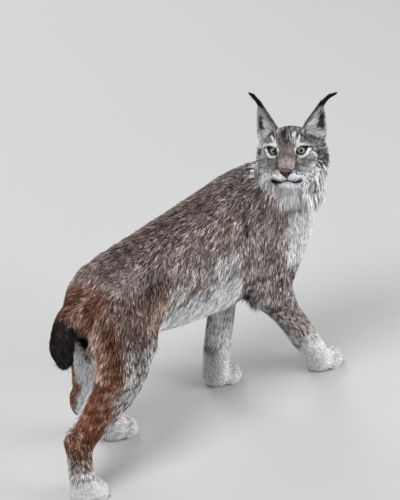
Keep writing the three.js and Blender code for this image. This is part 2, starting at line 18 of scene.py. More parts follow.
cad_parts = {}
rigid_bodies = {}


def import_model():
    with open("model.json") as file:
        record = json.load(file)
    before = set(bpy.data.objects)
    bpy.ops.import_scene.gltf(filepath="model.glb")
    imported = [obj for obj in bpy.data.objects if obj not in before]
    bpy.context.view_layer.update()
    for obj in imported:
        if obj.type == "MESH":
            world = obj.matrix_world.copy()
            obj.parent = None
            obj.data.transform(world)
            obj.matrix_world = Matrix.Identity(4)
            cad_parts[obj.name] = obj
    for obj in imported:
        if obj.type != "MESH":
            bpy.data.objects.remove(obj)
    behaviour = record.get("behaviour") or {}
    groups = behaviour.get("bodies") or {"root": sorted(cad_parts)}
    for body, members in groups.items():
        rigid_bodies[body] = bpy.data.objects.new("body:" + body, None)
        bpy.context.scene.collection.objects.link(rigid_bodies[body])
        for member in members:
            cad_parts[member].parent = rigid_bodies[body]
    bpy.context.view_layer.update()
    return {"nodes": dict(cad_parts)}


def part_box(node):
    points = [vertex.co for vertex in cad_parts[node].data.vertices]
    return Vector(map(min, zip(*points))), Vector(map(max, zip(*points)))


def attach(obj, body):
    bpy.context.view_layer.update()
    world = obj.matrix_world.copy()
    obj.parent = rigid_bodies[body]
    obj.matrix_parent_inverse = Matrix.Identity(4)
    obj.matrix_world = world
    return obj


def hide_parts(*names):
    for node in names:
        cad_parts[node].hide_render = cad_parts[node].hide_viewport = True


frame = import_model()

bl_info = {
    "name": "Eurasian lynx",
    "blender": (4, 5, 0),
    "version": (1, 0, 0),
    "location": "View3D > Sidebar > Lynx",
    "description": "Builds a life-size Eurasian lynx in its winter coat",
    "category": "Object",
}

MM = 0.001
PHOTO_HIGH = 500  # pixels
MM_PER_PX = 2.4
CAD_SHIFT = np.array([-279.337, 30.442, 0.0])  # from the leg and trunk stations below to the frame

# The head's own axes: forward along the nose, side to the animal's left, up to the crown.
FACE_YAW, FACE_PITCH, FACE_ROLL = (math.radians(a) for a in (-144.5, 30.0, 6.5))
HEAD_CENTRE = np.array([573.8, -83.1, 644.4]) + CAD_SHIFT
FORWARD = np.array([
    math.cos(FACE_PITCH) * math.cos(FACE_YAW),
    math.cos(FACE_PITCH) * math.sin(FACE_YAW),
    math.sin(FACE_PITCH),
])
_level = np.array([-math.sin(FACE_YAW), math.cos(FACE_YAW), 0.0])
SIDE = _level * math.cos(FACE_ROLL) + np.cross(FORWARD, _level) * math.sin(FACE_ROLL)
UP = np.cross(FORWARD, SIDE)
HEAD_AXES = np.array([FORWARD, SIDE, UP])
VIEW_AZIMUTH, VIEW_ELEVATION = math.radians(-44.0), math.radians(31.5)
TO_CAMERA = np.array([
    math.sin(VIEW_AZIMUTH) * math.cos(VIEW_ELEVATION),
    -math.cos(VIEW_AZIMUTH) * math.cos(VIEW_ELEVATION),
    math.sin(VIEW_ELEVATION),
])


def to_head(p):
    """Frame millimetres to (forward, side, up) on the head."""
    return (p - HEAD_CENTRE) @ HEAD_AXES.T


def from_head(q):
    return HEAD_CENTRE + np.asarray(q, float) @ HEAD_AXES


# Small helpers


def unit(v):
    return v / np.maximum(np.linalg.norm(v, axis=-1, keepdims=True), 1e-9)


def dot(a, b):
    return np.sum(a * b, axis=-1)


def step(low, high, x):
    """0 below low, 1 above high, smooth between; low may be the larger."""
    t = np.clip((x - low) / (high - low), 0.0, 1.0)
    return t * t * (3 - 2 * t)


def hill(x, middle, wide):
    return np.exp(-((x - middle) / wide) ** 2)


def linear(colour):
    """An sRGB hex value as linear light."""
    c = np.array([int(colour[i:i + 2], 16) for i in (1, 3, 5)]) / 255
    return np.where(c <= 0.04045, c / 12.92, ((c + 0.055) / 1.055) ** 2.4)


def scatter(cells, seed):
    """A repeatable random number from 0 to 1 for each whole-number cell."""
    c = cells.astype(np.int64)
    h = c[..., 0] * 73856093 ^ c[..., 1] * 19349663 ^ c[..., 2] * 83492791 ^ (seed * 2654435761)
    h = (h ^ (h >> 13)) * 1274126177 & 0x7FFFFFFF
    h = (h ^ (h >> 15)) * 668265263 & 0x7FFFFFFF
    return (h ^ (h >> 16)) % 1000003 / 1000003.0


CORNERS = np.array([[i, j, k] for i in (0, 1) for j in (0, 1) for k in (0, 1)])


def cloud(p, size, seed):
    """Soft noise from 0 to 1 with features of that size."""
    q = p / size
    base = np.floor(q)
    t = q - base
    t = t * t * (3 - 2 * t)
    total = np.zeros(len(p))
    for corner in CORNERS:
        weight = np.prod(np.where(corner == 1, t, 1 - t), axis=1)
        total += weight * scatter(base + corner, seed)
    return total


def nearest_dot(p, cell, seed):
    """The nearest of one jittered point per cell: its distance, place and own random number."""
    base = np.floor(p / cell)
    best = np.full(len(p), 1e9)
    place = np.zeros_like(p)
    own = np.zeros(len(p))
    for i in (-1, 0, 1):
        for j in (-1, 0, 1):
            for k in (-1, 0, 1):
                c = base + (i, j, k)
                jitter = np.stack([scatter(c, seed + n) for n in (1, 2, 3)], axis=1)
                at = (c + 0.15 + 0.7 * jitter) * cell
                far = np.linalg.norm(p - at, axis=1)
                closer = far < best
                best = np.where(closer, far, best)
                place[closer] = at[closer]
                own[closer] = scatter(c, seed + 4)[closer]
    return best, place, own


# The bare body as a field of distances


def spline(stations, steps=3):
    """A smooth line of stations through the given ones."""
    s = np.asarray(stations, float)
    ends = np.vstack([2 * s[0] - s[1], s, 2 * s[-1] - s[-2]])
    rows = []
    for a, b, c, d in zip(ends, ends[1:], ends[2:], ends[3:]):
        for n in range(steps):
            t = n / steps
            rows.append(0.5 * (2 * b + (c - a) * t + (2 * a - 5 * b + 4 * c - d) * t * t
                               + (3 * b - a - 3 * c + d) * t ** 3))
    return np.array(rows + [s[-1]])


FAR = 1e3
REACH = 70.0


def limb(p, stations, side=(0.0, 1.0, 0.0), steps=3):
    """Distance to a tapered limb through stations (x, y, z, half width, half depth)."""
    s = spline(stations, steps)
    out = np.full(len(p), FAR)
    low = (s[:, :3] - s[:, 3:].max(axis=1, keepdims=True)).min(axis=0) - REACH
    high = (s[:, :3] + s[:, 3:].max(axis=1, keepdims=True)).max(axis=0) + REACH
    near = np.all((p > low) & (p < high), axis=1)
    if not near.any():
        return out
    q = p[near]
    best = np.full(len(q), FAR)
    side = np.asarray(side)
    for a, b in zip(s[:-1], s[1:]):
        along = b[:3] - a[:3]
        off = q - a[:3]
        t = np.clip(off @ along / (along @ along), 0, 1)
        wide, deep = a[3] + (b[3] - a[3]) * t, a[4] + (b[4] - a[4]) * t
        off = off - t[:, None] * along
        across = off @ side
        rest = np.sqrt(np.maximum(0, dot(off, off) - across ** 2))
        best = np.minimum(best, (np.hypot(across / wide, rest / deep) - 1) * np.minimum(wide, deep))
    out[near] = best
    return out


def egg(p, centre, sizes, axes=None):
    off = p - np.asarray(centre, float)
    if axes is not None:
        off = off @ axes.T
    sizes = np.asarray(sizes, float)
    return (np.linalg.norm(off / sizes, axis=1) - 1) * sizes.min()


def blend(soft, *fields):
    """The union of distances with its inner corners filled to a soft radius."""
    total = np.full(len(fields[0]), 1e6)
    for d in fields:
        h = np.maximum(soft - np.abs(total - d), 0) / soft
        total = np.minimum(total, d) - h * h * soft / 4
    return total


# The coat's depth on each part, in millimetres, between the hide and the tips.
BACK_COAT, SIDE_COAT, BELLY_COAT = 11, 14, 26
NECK_COAT, TAIL_COAT, THIGH_COAT, LEG_COAT, PAW_COAT, FACE_COAT = 20, 12, 11, 7, 4, 3.2

LEGS = {
    "hind_right": dict(hip=(14, -60, 438), knee=(46, -95, 298), hock=(-136, -88, 154),
                       paw=(-132, -110, 0), heading=-6),
    "hind_left": dict(hip=(36, 48, 420), knee=(106, 76, 312), hock=(18, 54, 128),
                      paw=(108, 40, 0), heading=0),
    "fore_right": dict(shoulder=(556, -72, 408), elbow=(510, -90, 288), wrist=(620, -86, 118),
                       paw=(690, -84, 0), heading=2),
    "fore_left": dict(shoulder=(566, 62, 408), elbow=(502, 66, 288), wrist=(453, 44, 112),
                      paw=(460, 40, 0), heading=-2),
}
PAW_WIDE, PAW_LONG, PAW_HIGH, SOLE_DEPTH = 80, 100, 56, 7


def lerp(a, b, t):
    return np.asarray(a, float) * (1 - t) + np.asarray(b, float) * t


def station(at, wide, deep, coat):
    return [*at, wide - coat, deep - coat]


def hind_leg(p, hip, knee, hock, paw, heading):
    hip, knee, hock, paw = (np.array(v, float) for v in (hip, knee, hock, paw))
    ankle = np.array([paw[0] - 14, paw[1], 46])
    leg = limb(p, [
        station(hip, 50, 76, THIGH_COAT + 2),
        station(lerp(hip, knee, 0.5) + (-11, 0, 0), 48, 101, THIGH_COAT + 2),
        station(knee + (-43, 0, 0), 44, 84, THIGH_COAT),
        station(lerp(knee, hock, 0.45) + (-9, 0, -4), 38, 68, LEG_COAT + 3),
        station(hock + (5, 0, 0), 31, 41, LEG_COAT),
    ])
    foot = limb(p, [
        station(hock + (-4, 0, 0), 30, 34, LEG_COAT),
        station(lerp(hock, ankle, 0.5) + (-4, 0, 0), 31, 32, LEG_COAT),
        station(ankle, 34, 33, LEG_COAT - 1),
    ])
    heel = egg(p, hock + (-24, 0, 14), np.array([22, 19, 24]) - LEG_COAT + 1)
    return blend(12, blend(16, leg, foot, heel), paw_pad(p, paw, heading))


def fore_leg(p, shoulder, elbow, wrist, paw, heading):
    shoulder, elbow, wrist, paw = (np.array(v, float) for v in (shoulder, elbow, wrist, paw))
    blade = shoulder + (-62, -6 if shoulder[1] > 0 else 6, 62)
    arm = limb(p, [
        station(blade, 42, 78, THIGH_COAT + 2),
        station(lerp(shoulder, elbow, 0.1) + (-22, 0, 0), 45, 84, THIGH_COAT + 2),
        station(lerp(shoulder, elbow, 0.7) + (-10, 0, 0), 42, 60, THIGH_COAT),
        station(elbow, 38, 48, LEG_COAT + 2),
    ])
    forearm = limb(p, [
        station(elbow, 38, 48, LEG_COAT + 2),
        station(lerp(elbow, wrist, 0.5), 34, 37, LEG_COAT),
        station(wrist, 35, 35, LEG_COAT - 1),
        station(paw + (-20, 0, 42), 37, 31, LEG_COAT - 1),
    ])
    return blend(12, blend(14, arm, forearm), paw_pad(p, paw, heading))


def paw_pad(p, paw, heading):
    """A broad pad with four toes, the middle two a little ahead."""
    angle = math.radians(heading)
    ahead = np.array([math.cos(angle), math.sin(angle), 0])
    side = np.array([-math.sin(angle), math.cos(angle), 0])
    axes = np.array([ahead, side, (0, 0, 1)])

    def place(forward, across, height):
        at = paw + ahead * forward + side * across
        return (at[0], at[1], height - SOLE_DEPTH)

    pad = egg(p, place(-10, 0, PAW_HIGH * 0.5),
              np.array([PAW_LONG * 0.42, PAW_WIDE * 0.44, PAW_HIGH * 0.5]) - PAW_COAT, axes)
    toes = [egg(p, place(PAW_LONG * (0.3 if abs(across) < 0.2 else 0.19), across * PAW_WIDE, PAW_HIGH * 0.4),
                np.array([PAW_LONG * 0.24, PAW_WIDE * 0.15, PAW_HIGH * 0.41]) - PAW_COAT * 0.6, axes)
            for across in (-0.36, -0.13, 0.13, 0.36)]
    return blend(3, pad, *toes)


def body_field(p):
    """Distance from the bare trunk, neck, tail and legs, in the stations' own millimetres."""
    trunk_rows = [(2, 0, 466, 126, 144), (62, 0, 533, 212, 200), (180, 0, 557, 262, 212),
                  (300, 0, 571, 298, 230), (400, 0, 582, 312, 238), (488, -4, 594, 300, 222),
                  (566, -18, 540, 226, 196)]
    trunk = limb(p, [
        (x, y, top - BACK_COAT - (high - BACK_COAT - BELLY_COAT) / 2, wide / 2 - SIDE_COAT,
         (high - BACK_COAT - BELLY_COAT) / 2)
        for x, y, top, high, wide in trunk_rows])
    neck = limb(p, [
        station((508, -10, 484), 98, 106, NECK_COAT),
        station((566, -30, 516), 97, 101, NECK_COAT),
        station((600, -48, 564), 80, 82, NECK_COAT),
        station((597, -58, 606), 62, 64, NECK_COAT - 4),
    ])
    tail = limb(p, [
        station((-48, 2, 455), 34.5, 33.3, TAIL_COAT),
        station((-98, -4, 425), 33.3, 32.6, TAIL_COAT),
        station((-119, -10, 371), 32, 32, TAIL_COAT),
        station((-114, -12, 338), 27, 27, TAIL_COAT),
    ])
    legs = [(hind_leg if name.startswith("hind") else fore_leg)(p, **leg) for name, leg in LEGS.items()]
    return blend(30, blend(40, trunk, neck), tail, *legs)


EYES = {end: np.array(sum(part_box("eye_" + end), Vector()) / 2) / MM for end in ("left", "right")}
EYE_RADIUS = 13.5
NOSE = np.array(sum(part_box("nose"), Vector()) / 2) / MM
LID_THICK = 1.7


def face_field(q):
    """Distance from the bare head, in the head's own millimetres."""
    def part(f, s, u, a, b, c):
        return egg(q, (f, s, u), np.array((a, b, c)) - FACE_COAT)

    def pair(f, s, u, a, b, c):
        return [part(f, s, u, a, b, c), part(f, -s, u, a, b, c)]

    side = (0.0, 1.0, 0.0)
    coat = FACE_COAT
    skull = blend(22, part(-18, 0, 13, 70, 66, 63), part(18, 0, 18, 42, 57, 45),
                  *pair(-2, 40, -14, 48, 30, 42))
    bridge = limb(q, [station((36, 0, 32), 25, 20, coat), station((58, 0, 4), 19, 20, coat - 1),
                      station((75, 0, -17), 15, 15, coat - 1)], side)
    muzzle = limb(q, [station((16, 0, -20), 48, 45, coat), station((48, 0, -31), 36, 31, coat),
                      station((62, 0, -38), 27, 23, coat)], side)
    pads = pair(65, 16, -43, 22, 19.5, 16.5)
    chin = part(56, 0, -61, 21, 21, 12)
    brows = pair(35, 31, 38, 18, 22, 11)
    cheekbones = pair(22, 47, -8, 26, 22, 20)
    jaw = part(2, 0, -46, 54, 48, 32)
    throat = part(-34, 0, -58, 50, 46, 50)
    lids = [egg(q, to_head(EYES[end]), np.full(3, EYE_RADIUS + LID_THICK)) for end in EYES]
    head = blend(9, blend(14, skull, jaw, muzzle, *cheekbones), bridge, chin, *brows)
    return blend(16, blend(5, blend(4, head, *pads), *lids), throat)


def hide_field(p):
    """Distance from the whole bare animal, in frame millimetres."""
    return blend(24, body_field(p - CAD_SHIFT), face_field(to_head(p)))


# The hide

FLESH = [n for n in frame["nodes"] if not n.startswith(("eye", "ear", "nose"))]
SHELL_GROW, SHELL_VOXEL, FLOOR_GAP = 0.0010, 0.0050, 0.0004


def select_only(*objects):
    for o in bpy.context.view_layer.objects:
        o.select_set(False)
    for o in objects:
        o.select_set(True)
    bpy.context.view_layer.objects.active = objects[0]


def add_object(name, mesh):
    piece = bpy.data.objects.new(name, mesh)
    bpy.context.scene.collection.objects.link(piece)
    return piece


@contextmanager
def editing(mesh):
    """A bmesh of a mesh, written back to it at the end."""
    bm = bmesh.new()
    bm.from_mesh(mesh)
    yield bm
    bm.to_mesh(mesh)
    bm.free()


def joined_nodes(name, nodes, grow):
    """The CAD nodes joined as one object, each merged and grown a little so that they overlap."""
    copies = []
    for node in nodes:
        mesh = frame["nodes"][node].data.copy()
        with editing(mesh) as bm:
            bmesh.ops.remove_doubles(bm, verts=bm.verts, dist=1e-5)
            bm.normal_update()
            for v in bm.verts:
                v.co += v.normal * grow
        copies.append(add_object(name, mesh))
    select_only(*copies)
    bpy.ops.object.join()
    whole = copies[0]
    whole.name = name
    whole.data.materials.clear()
    return whole


def modify(piece, kind, **settings):
    """Adds a modifier with its settings and applies it."""
    select_only(piece)
    modifier = piece.modifiers.new(kind.title(), kind)
    for key, value in settings.items():
        setattr(modifier, key, value)
    bpy.ops.object.modifier_apply(modifier=modifier.name)


def keep_largest(mesh):
    """Drops every loose shell but the one with most vertices."""
    with editing(mesh) as bm:
        left = set(bm.verts)
        shells = []
        while left:
            seed = left.pop()
            shell, edge = {seed}, [seed]
            while edge:
                v = edge.pop()
                for e in v.link_edges:
                    w = e.other_vert(v)
                    if w in left:
                        left.discard(w)
                        shell.add(w)
                        edge.append(w)
            shells.append(shell)
        shells.sort(key=len)
        for shell in shells[:-1]:
            bmesh.ops.delete(bm, geom=list(shell), context="VERTS")


def points_of(mesh):
    co = np.empty(len(mesh.vertices) * 3, np.float32)
    mesh.vertices.foreach_get("co", co)
    return co.reshape(-1, 3).astype(float)


def put_points(mesh, points):
    mesh.vertices.foreach_set("co", points.astype(np.float32).ravel())
    mesh.update()


def normals_of(mesh):
    n = np.empty(len(mesh.vertices) * 3, np.float32)
    mesh.vertices.foreach_get("normal", n)
    return n.reshape(-1, 3).astype(float)


def ring_of(mesh, most=8):
    """For each vertex the indices of its neighbours, filled up with itself."""
    e = np.empty(len(mesh.edges) * 2, np.int32)
    mesh.edges.foreach_get("vertices", e)
    e = e.reshape(-1, 2)
    both = np.vstack([e, e[:, ::-1]])
    both = both[np.argsort(both[:, 0], kind="stable")]
    count = len(mesh.vertices)
    starts = np.searchsorted(both[:, 0], np.arange(count))
    rank = np.arange(len(both)) - starts[both[:, 0]]
    ring = np.repeat(np.arange(count)[:, None], most, axis=1)
    fits = rank < most
    ring[both[fits, 0], rank[fits]] = both[fits, 1]
    return ring


def smoothed(values, ring, rounds):
    for _ in range(rounds):
        values = 0.5 * values + 0.5 * values[ring].mean(axis=1)
    return values


def settle(mesh, rounds, relax=1):
    """Draws the mesh onto the bare body and evens out its points between steps."""
    ring = ring_of(mesh)
    p = points_of(mesh) / MM
    nudge = 0.4
    for _ in range(rounds):
        p = smoothed(p, ring, relax)
        here = hide_field(p)
        slope = np.stack([(hide_field(p + axis * nudge) - here) / nudge for axis in np.eye(3)], axis=1)
        steep = np.maximum(dot(slope, slope), 0.25)
        p = p - slope * np.clip(here / steep, -14, 14)[:, None]
    put_points(mesh, p * MM)


def refine(mesh, wanted):
    """Divides the faces whose middles answer to wanted, a test on frame millimetres."""
    with editing(mesh) as bm:
        middles = np.array([f.calc_center_median() for f in bm.faces]) / MM
        edges = {e for f, yes in zip(bm.faces, wanted(middles)) if yes for e in f.edges}
        bmesh.ops.subdivide_edges(bm, edges=list(edges), cuts=1, use_grid_fill=True)
        bmesh.ops.triangulate(bm, faces=[f for f in bm.faces if len(f.verts) > 4])


def calm(mesh, rounds=34):
    """Evens out what the stations of the body leave on it, away from the head and the paws."""
    ring = ring_of(mesh)
    p = points_of(mesh) / MM
    body = step(95, 130, np.linalg.norm(to_head(p), axis=1)) * step(55, 80, p[:, 2])
    body = body * (0.25 + 0.75 * step(240, 330, p[:, 2]))
    for _ in range(rounds):
        p += (smoothed(p, ring, 1) - p) * body[:, None]
    put_points(mesh, p * MM)


def is_head(p):
    q = to_head(p)
    return (q[:, 0] > -40) & (q[:, 2] > -78) & (np.abs(q[:, 1]) < 80) & (q[:, 2] < 95)


def is_feature(p):
    """Round the eyes, the nose and the mouth."""
    q = to_head(p)
    eyes = np.min([np.linalg.norm(p - EYES[end], axis=1) for end in EYES], axis=0) < 27
    mouth = (q[:, 0] > 42) & (np.abs(q[:, 1]) < 44) & (q[:, 2] < -16) & (q[:, 2] > -70)
    return eyes | mouth


# Each eye opening: an almond, its outer corner raised, seen along its own axis.
EYE_HALF_LENGTH, UPPER_LID, LOWER_LID = 13.6, 6.0, 8.2
EYE_SLANT = math.radians(20)


def eye_view(p, end):
    """How far points are across (outward), up and forward of an eye's centre, and its line of sight."""
    out = 1 if end == "left" else -1
    gaze = unit(FORWARD + SIDE * out * 0.24 + UP * 0.06)
    across = unit(SIDE * out - gaze * np.dot(SIDE * out, gaze))
    lift = np.cross(gaze, across) * (-1 if out < 0 else 1)
    if np.dot(lift, UP) < 0:
        lift = -lift
    turned = across * math.cos(EYE_SLANT) + lift * math.sin(EYE_SLANT)
    up = lift * math.cos(EYE_SLANT) - across * math.sin(EYE_SLANT)
    off = p - EYES[end]
    return off @ turned, off @ up, off @ gaze, gaze


def lid_gap(x, y):
    """Signed distance, roughly, from the rim of the eye opening: below zero in the opening."""
    t = np.clip(x / EYE_HALF_LENGTH, -1.0, 1.0)
    bow = np.sqrt(np.maximum(1 - t * t, 0)) * (1 - 0.28 * t * t)
    top = UPPER_LID * bow * (1 + 0.10 * t)
    low = LOWER_LID * bow * (1 - 0.12 * t)
    inner = np.where(y > 0, np.abs(y) - top, np.abs(y) - low)
    past = np.maximum(np.abs(x) - EYE_HALF_LENGTH, 0)
    return np.where(past > 0, np.hypot(past, np.maximum(np.abs(y) - 0.5, 0)), inner * 0.9)


MOUTH_HALF = 33


def mouth_line(s):
    """How high the lips meet at a distance to the side, on the head."""
    a = np.abs(s)
    return -53.5 - 3.4 * hill(a, 17, 10) + 2.5 * step(24, 36, a)


def sculpt_face(mesh):
    """Opens the eyes, parts the lips and cuts the line below the nose."""
    p = points_of(mesh) / MM
    n = normals_of(mesh)
    q = to_head(p)
    move = np.zeros_like(p)
    for end in EYES:
        x, y, z, gaze = eye_view(p, end)
        near = (np.abs(x) < 24) & (np.abs(y) < 20) & (z > 0)
        gap = lid_gap(x, y)
        sink = step(0.9, -1.6, gap) * near
        move -= gaze * (sink * 7.5)[:, None]
        rim = hill(gap, 1.6, 1.3) * near
        move += gaze * (rim * 0.7)[:, None]
        crease = hill(y - UPPER_LID * np.sqrt(np.clip(1 - (x / 17) ** 2, 0, 1)), 5.4, 1.6)
        move -= gaze * (crease * (np.abs(x) < 16) * (y > 0) * near * 1.1)[:, None]
    front = q[:, 0] > 30
    lips = hill(q[:, 2] - mouth_line(q[:, 1]), 0, 1.9)
    lips = lips * step(MOUTH_HALF + 5, MOUTH_HALF - 3, np.abs(q[:, 1]))
    groove = hill(q[:, 1], 0, 1.6) * step(-56, -53, q[:, 2]) * step(-40, -44, q[:, 2])
    move -= n * ((lips * 4.2 + groove * 2.2) * front)[:, None]
    put_points(mesh, (p + move) * MM)


def build_hide():
    """The hide, settled onto the bare body and refined on the face, and the shell of the solids."""
    shell = joined_nodes("hide", FLESH, SHELL_GROW)
    modify(shell, "REMESH", mode="VOXEL", voxel_size=SHELL_VOXEL)
    keep_largest(shell.data)
    outer = shell.data.copy()
    put_points(outer, smoothed(points_of(outer), ring_of(outer), 6))
    calm(outer)
    settle(shell.data, 6, 2)
    refine(shell.data, is_head)
    settle(shell.data, 3, 1)
    refine(shell.data, is_feature)
    settle(shell.data, 2, 1)
    calm(shell.data)
    sculpt_face(shell.data)
    points = points_of(shell.data)
    points[:, 2] = np.maximum(points[:, 2], FLOOR_GAP)
    put_points(shell.data, points)
    return shell, outer


# The lie of the coat

# For each CAD part: which way the hair lies, its length in millimetres, and how wide a lock is.
BACKWARD = (-1, 0, -0.12)
LIE = {
    "rump": (BACKWARD, 28, 2.6), "loin": (BACKWARD, 31, 2.6), "chest": (BACKWARD, 33, 2.6),
    "neck": ("from_head", 35, 2.6), "tail": ((-0.35, 0, -1), 28, 2.8), "tail_tip": ((0.1, 0, -1), 26, 2.8),
    "hind_thigh": ((-0.5, 0, -1), 26, 2.5), "hind_shank": ("limb", 19, 2.3),
    "hind_foot": ((0.05, 0, -1), 13, 2.0), "hind_paw": ("paw", 7, 1.7),
    "fore_arm": ((-0.35, 0, -1), 26, 2.5), "fore_forearm": ("limb", 17, 2.2), "fore_paw": ("paw", 7, 1.7),
    "head": ("face", 10, 1.4), "ruff": ("ruff", 46, 3.0),
}


def family(node):
    """The part's name without its side."""
    for end in ("_left", "_right"):
        if node.endswith(end):
            return node[:-len(end)]
    return node


def lie_of(node, p):
    """Which way the hair lies on a part, for points in frame millimetres."""
    rule = LIE[family(node)][0]
    if rule == "from_head":
        away = unit(p - from_head((30, 0, 20))) * np.array([1.0, 0.25, 1.0])
        return away + np.array([-0.45, 0.0, -0.45])
    if rule == "limb":
        leg = LEGS[("hind_" if "hind" in node else "fore_") + node.split("_")[-1]]
        a, b = (leg["knee"], leg["hock"]) if "hind" in node else (leg["elbow"], leg["wrist"])
        return np.tile(unit(np.subtract(b, a).astype(float)) + (0, 0, -0.25), (len(p), 1))
    if rule == "paw":
        return np.tile(np.array([0.75, 0.0, -0.65]), (len(p), 1))
    if rule in ("face", "ruff"):
        q = to_head(p)
        from_nose = unit(q - np.array([95.0, 0.0, -30.0]))
        droop = np.stack([0.1 + 0 * q[:, 0], 0.1 * np.sign(q[:, 1]), -1 + 0 * q[:, 0]], axis=1)
        low = step(10, -45, q[:, 2]) * 0.55 if rule == "face" else step(25, -30, q[:, 2]) * 0.9
        mixed = from_nose * (1 - low[:, None] * 0.7) + droop * low[:, None]
        return mixed @ HEAD_AXES
    return np.tile(np.array(rule, float), (len(p), 1))


def comb(hide, outer):
    """What the fur needs at each point of the hide: its lie, length, width, lift and the CAD part."""
    mesh = hide.data
    p, n = points_of(mesh) / MM, normals_of(mesh)
    ring = ring_of(mesh)
    outer_tree = BVHTree.FromPolygons([v.co[:] for v in outer.vertices],
                                      [f.vertices[:] for f in outer.polygons])
    low = step(75, 50, p[:, 2])[:, None]
    soft_n = unit(smoothed(n, ring, 6) * (1 - low) + smoothed(n, ring, 1) * low)
    lift = np.full(len(p), 6.0)
    for i, (at, way) in enumerate(zip(p * MM, soft_n)):
        hit = outer_tree.ray_cast(Vector(at) - Vector(way) * 0.001, Vector(way), 0.06)
        if hit[3] is not None:
            lift[i] = hit[3] / MM - 1
    lift = smoothed(np.clip(lift, 1.5, 40), ring, 24) * (1 - 0.3 * low[:, 0])

    faces, corners, owner = [], [], []
    for index, node in enumerate(FLESH):
        data = frame["nodes"][node].data
        base = len(corners)
        corners += [v.co[:] for v in data.vertices]
        faces += [tuple(base + k for k in f.vertices) for f in data.polygons]
        owner += [index] * len(data.polygons)
    parts = BVHTree.FromPolygons(corners, faces)
    part = np.zeros(len(p), int)
    for i, at in enumerate((p + soft_n * lift[:, None]) * MM):
        part[i] = owner[parts.find_nearest(Vector(at))[2]]

    lie = np.zeros_like(p)
    length, wide = np.zeros(len(p)), np.zeros(len(p))
    for index, node in enumerate(FLESH):
        here = part == index
        if here.any():
            lie[here] = lie_of(node, p[here])
            length[here], wide[here] = LIE[family(node)][1:]
    trunk = np.isin(part, [FLESH.index(k) for k in ("rump", "loin", "chest")])
    flank = step(0.1, 0.8, np.abs(soft_n[:, 1])) * trunk
    lie[:, 2] -= 0.75 * flank
    under = step(-0.15, -0.8, soft_n[:, 2]) * trunk
    length = length + under * 22
    lift = lift + under * 2
    lie = unit(smoothed(lie, ring, 14))
    length, wide = smoothed(length, ring, 14), smoothed(wide, ring, 10)
    q = to_head(p)
    on_face = step(12, 34, q[:, 0]) * (np.abs(q[:, 1]) < 60) * (q[:, 2] > -64)
    length = length * (1 - on_face) + on_face * np.clip(length, 4.5, 7.0)
    muzzle = step(44, 60, q[:, 0]) * (np.abs(q[:, 1]) < 40) * (q[:, 2] < 2) * (q[:, 2] > -62)
    length = length * (1 - 0.35 * muzzle)
    cheek = step(44, 68, np.abs(q[:, 1])) * step(-66, -50, q[:, 2]) * step(40, 24, q[:, 2])
    cheek = cheek * step(-80, -50, q[:, 0]) * face_edge(q) * (1 + 0.25 * (q[:, 1] < 0))
    length, lift = length + 10 * cheek, lift + 6.5 * cheek
    beard = step(-52, -78, q[:, 2]) * (np.abs(q[:, 1]) < 75) * (q[:, 0] > -30)
    beard = beard * (np.linalg.norm(q, axis=1) < 170)
    length = length * (1 - beard) + np.maximum(length, 38) * beard
    beyond = np.isin(part, [FLESH.index(k) for k in ("ruff_left", "ruff_right")]) * (1 - face_edge(q))
    beyond = smoothed(beyond.astype(float), ring, 10)
    length = length * (1 - 0.4 * beyond)
    lift = lift * (1 - 0.55 * beyond)
    nape = step(200, 130, np.linalg.norm(q, axis=1)) * (1 - face_edge(q)) * step(-0.1, 0.5, soft_n[:, 2])
    behind = step(-60, -78, q[:, 1]) * step(24, 2, q[:, 0]) * step(-70, -45, q[:, 2]) * step(60, 30, q[:, 2])
    nape = smoothed(np.maximum(nape, behind * (q[:, 0] > -120)), ring, 6)
    length, lift = length * (1 - 0.45 * nape), lift * (1 - 0.25 * nape)
    back = np.maximum(beyond, nape)[:, None]
    lie = unit(lie * (1 - 0.7 * back) + np.array([-1.0, 0.0, -0.5]) * back)
    along = unit(lie - soft_n * dot(lie, soft_n)[:, None])
    along = unit(smoothed(along, ring, 4))
    along = unit(along - soft_n * dot(along, soft_n)[:, None])

    step_to = p[ring] - p[:, None, :]
    run = np.einsum("vki,vi->vk", step_to, along)
    turn = np.einsum("vki,vi->vk", soft_n[ring] - soft_n[:, None, :], along)
    bend = (run * turn).sum(axis=1) / np.maximum((run ** 2).sum(axis=1), 1e-6)
    bend = np.clip(smoothed(bend, ring, 5), -(1 - 0.8 * nape) / 60, 1 / 14)
    return dict(p=p, n=soft_n, along=along, length=length, wide=wide, lift=lift, part=part, bend=bend,
                ring=ring)


# Markings

COAT = {name: linear(value) for name, value in {
    "back": "#7b6a65", "spine": "#57433f", "flank": "#978a85", "shoulder": "#6e6260", "white": "#f0eff4",
    "rust": "#8c5438", "rust_dark": "#44271a", "cream": "#cfac93", "leg": "#c2bcba", "foot": "#7d6456",
    "paw": "#ebe9ea", "dark": "#2c2220", "black": "#0e0c0b", "smudge": "#49403c", "thigh": "#68524c",
    "face": "#8f8c8a", "crown": "#726e6d", "bridge": "#726665", "snout": "#b0a09d", "temple": "#726f6e",
    "cheek": "#878381", "muzzle": "#f1f1f6", "ruff": "#b3b2b5", "ear": "#c2c0c6", "rim": "#0b0909",
    "tear": "#33241f",
}.items()}


def paint(colours, name, amount):
    """Mixes a named colour in by an amount for each point."""
    amount = np.clip(amount, 0, 1)[:, None]
    return colours * (1 - amount) + COAT[name] * amount


def stroke(a, u, path, wide):
    """How near points on a map lie to a line of points: 1 on it, 0 well away."""
    best = np.full(len(a), 1e9)
    path = np.asarray(path, float)
    for (a0, u0), (a1, u1) in zip(path, path[1:]):
        along = np.array([a1 - a0, u1 - u0])
        t = np.clip(((a - a0) * along[0] + (u - u0) * along[1]) / (along @ along), 0, 1)
        best = np.minimum(best, np.hypot(a - a0 - along[0] * t, u - u0 - along[1] * t))
    return np.exp(-(best / wide) ** 2)


